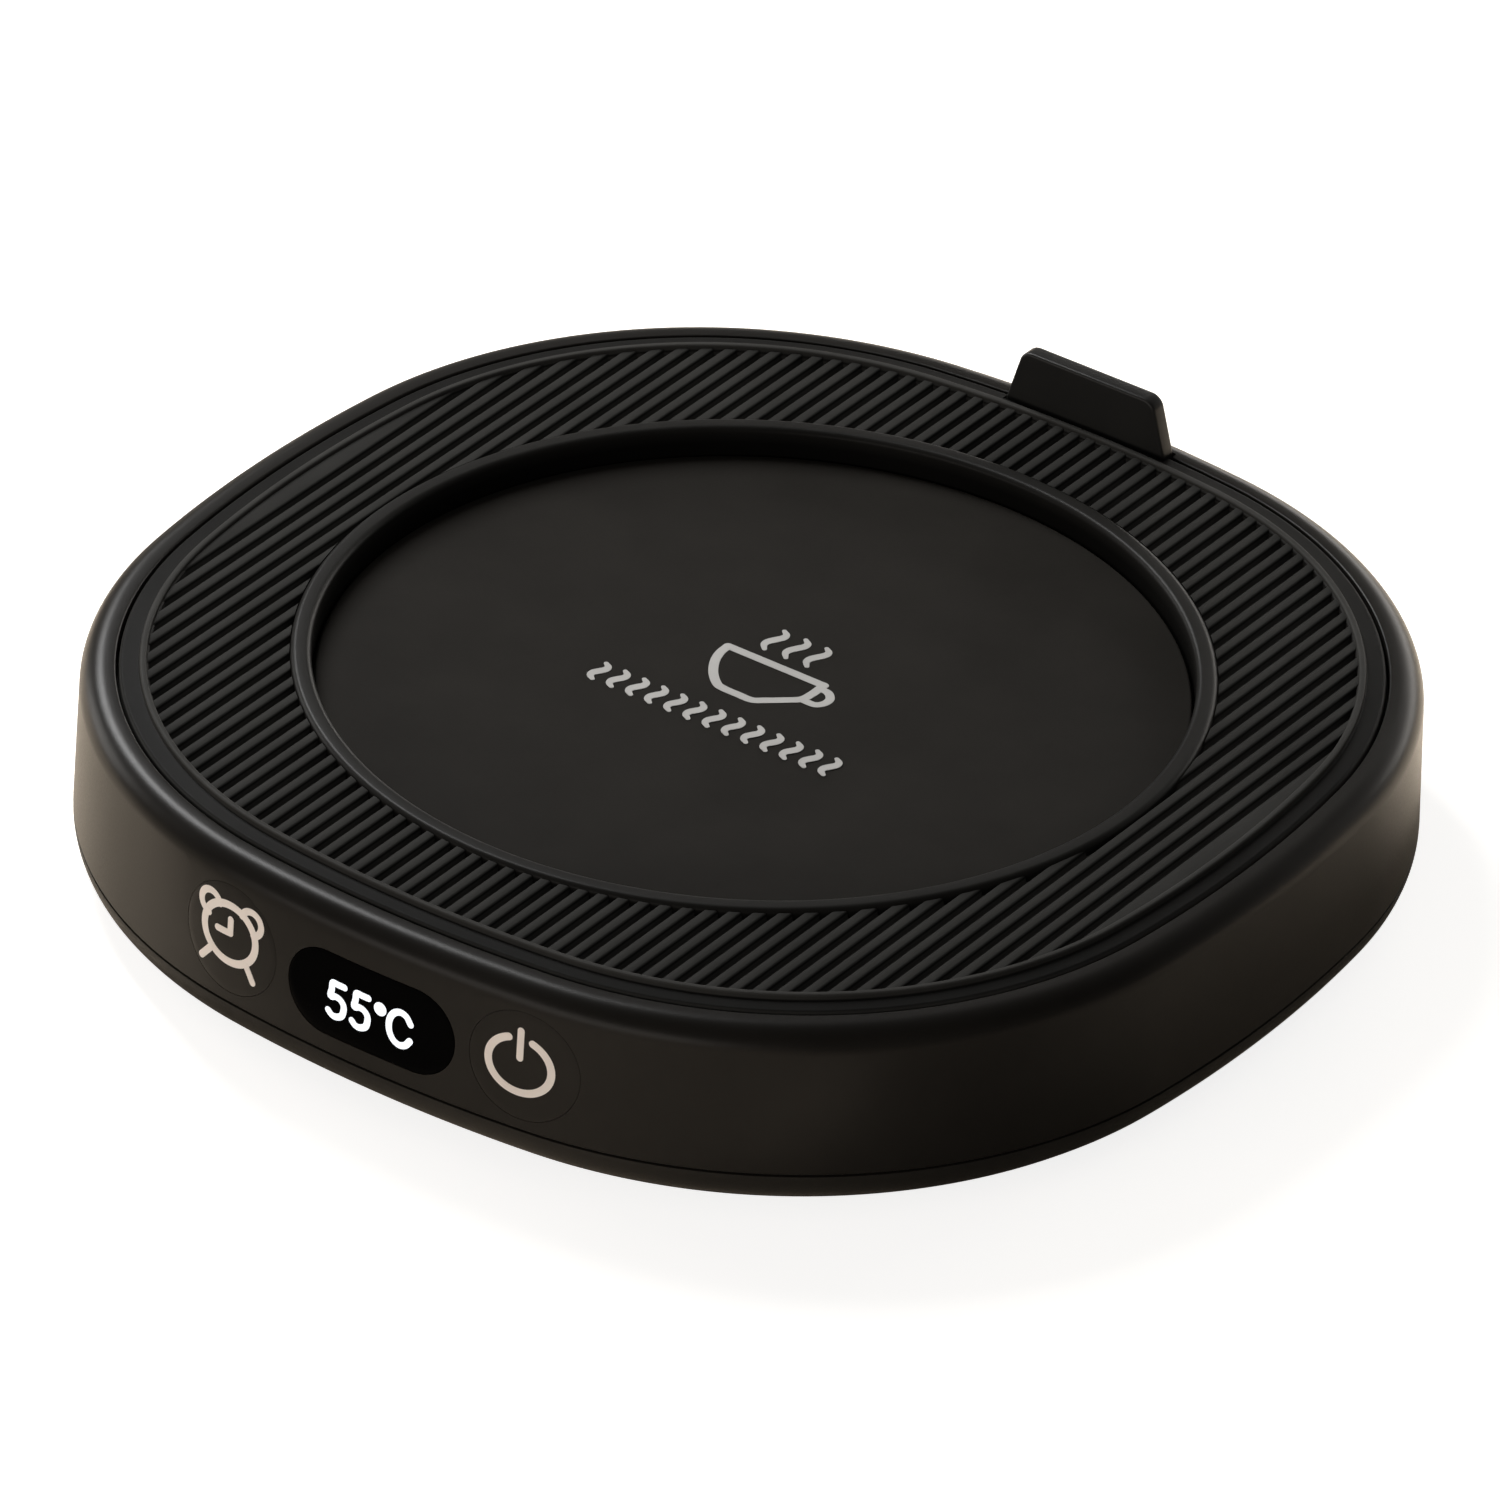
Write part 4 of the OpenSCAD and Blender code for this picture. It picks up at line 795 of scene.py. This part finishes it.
# ---- Floor and light --------------------------------------------------------------------------------
# A pale table that runs into a pale surround, and four soft lamps: a window high behind the left side, a dim low
# one beside it, a strip behind and a broad one in front. All are dim, so a colour renders about as it is written.
bpy.ops.mesh.primitive_plane_add(size=14, location=(0, 0, 0))
floor = bpy.context.object
floor.name = "floor"
table, tree, shader = new_finish("pale_floor")
tree.nodes.remove(shader)
floor.data.materials.append(table)

# What the dark body mirrors of the table: painted light and shadow, whose tone changes with the direction from the
# body's middle: each pair is a direction in degrees, turned from +X, and a share. It is also painted brighter in a
# strip just in front of the front wall and behind the rear edge, and painted dimmer further out in front.
PAINTED_TABLE_LIGHT = [(-180, 1.1), (-150, 0.95), (-125, 0.9), (-108, 0.85), (-92, 1.3), (-76, 2.0), (-50, 1.7), (-38, 0.6),
               (-24, 0.5), (-5, 0.85), (30, 0.6), (46, 0.7), (60, 0.8), (80, 0.6), (115, 0.36), (135, 0.12),
               (165, 0.12), (180, 1.1)]
x, y = node(tree, "SeparateXYZ", place_on(tree)).outputs[:2]
bearing = node(tree, "Math ARCTAN2", y, x)
around = banded(ranged(bearing, -math.pi, math.pi, 0.0, 1.0),
                [((degrees + 180) / 360, (tone / 2, tone / 2, tone / 2, 1)) for degrees, tone in PAINTED_TABLE_LIGHT])
tinted = node(tree, "VectorMath MULTIPLY", around, (3.2, 2.74, 2.2))
painted_strips = times(times(ranged(y, -0.071, -0.064, 0.65, 1.7), ranged(y, -0.061, -0.053, 1.0, 0.59)),
                 ranged(y, 0.04, 0.06, 1.0, 2.6))
mirrored = node(tree, "BsdfDiffuse", node(tree, "VectorMath SCALE", tinted, Scale=painted_strips))
diffuse = node(tree, "BsdfDiffuse", (0.8, 0.75, 0.68, 1))
bright = node(tree, "AddShader", diffuse, node(tree, "Emission", (1, 1, 1, 1), 0.82))
ray = node(tree, "LightPath").outputs
unseen = node(tree, "MixShader", ray["Is Glossy Ray"], diffuse, mirrored)
feed(tree.nodes["Material Output"], Surface=node(tree, "MixShader", ray["Is Camera Ray"], unseen, bright))

# The surround is white to the camera and lights the body dimly. What the body mirrors of it is a warm horizon that
# fades upwards and is brightest at the back.
world = bpy.data.worlds.new("surround")
bpy.context.scene.world = world
world.use_nodes = True
tree = world.node_tree
direction = node(tree, "TexCoord").outputs["Generated"]
height = node(tree, "SeparateXYZ", direction).outputs["Z"]
rearward = node(tree, "VectorMath DOT_PRODUCT", direction, (0.1, 0.995, 0.0)).outputs["Value"]
strength = node(tree, "Math MULTIPLY_ADD", ranged(height, 0.0, 0.5, 1.5, 0.0), ranged(rearward, 0.65, 1.0, 0.05, 1.0),
                0.08)
horizon = node(tree, "Background", (1.0, 0.95, 0.88, 1), strength)
soft = feed(tree.nodes["Background"], (1.0, 1.0, 1.0, 1), 0.1)
white = node(tree, "Background", (1, 1, 1, 1), 1.0)
ray = node(tree, "LightPath").outputs
unseen = node(tree, "MixShader", ray["Is Glossy Ray"], soft, horizon)
feed(tree.nodes["World Output"], Surface=node(tree, "MixShader", ray["Is Camera Ray"], unseen, white))

for name, place, size, power_w, tint in (
        ("lamp_window", (-0.285, 0.137, 0.308), (0.11, 0.26), 1.65, (1.0, 1.0, 1.0)),
        ("lamp_side", (-0.6, 0.01, 0.15), (0.24, 0.22), 0.76, (1.0, 0.98, 0.95)),
        ("lamp_rear", (-0.05, 0.8, 0.2), (0.7, 0.16), 2.2, (1.0, 0.96, 0.91)),
        ("lamp_front", (-0.12, -1.0, 0.13), (1.2, 0.4), 5.0, (1.0, 0.93, 0.86))):
    lamp = bpy.data.lights.new(name, "AREA")
    lamp.shape, lamp.color = "RECTANGLE", tint
    (lamp.size, lamp.size_y), lamp.energy = size, power_w
    holder = bpy.data.objects.new(name, lamp)
    bpy.context.scene.collection.objects.link(holder)
    holder.location = place
    holder.rotation_mode = "QUATERNION"
    holder.rotation_quaternion = (Vector((0, 0, 0.01)) - Vector(place)).to_track_quat("-Z", "Y")
bpy.context.scene.view_settings.view_transform = "Standard"
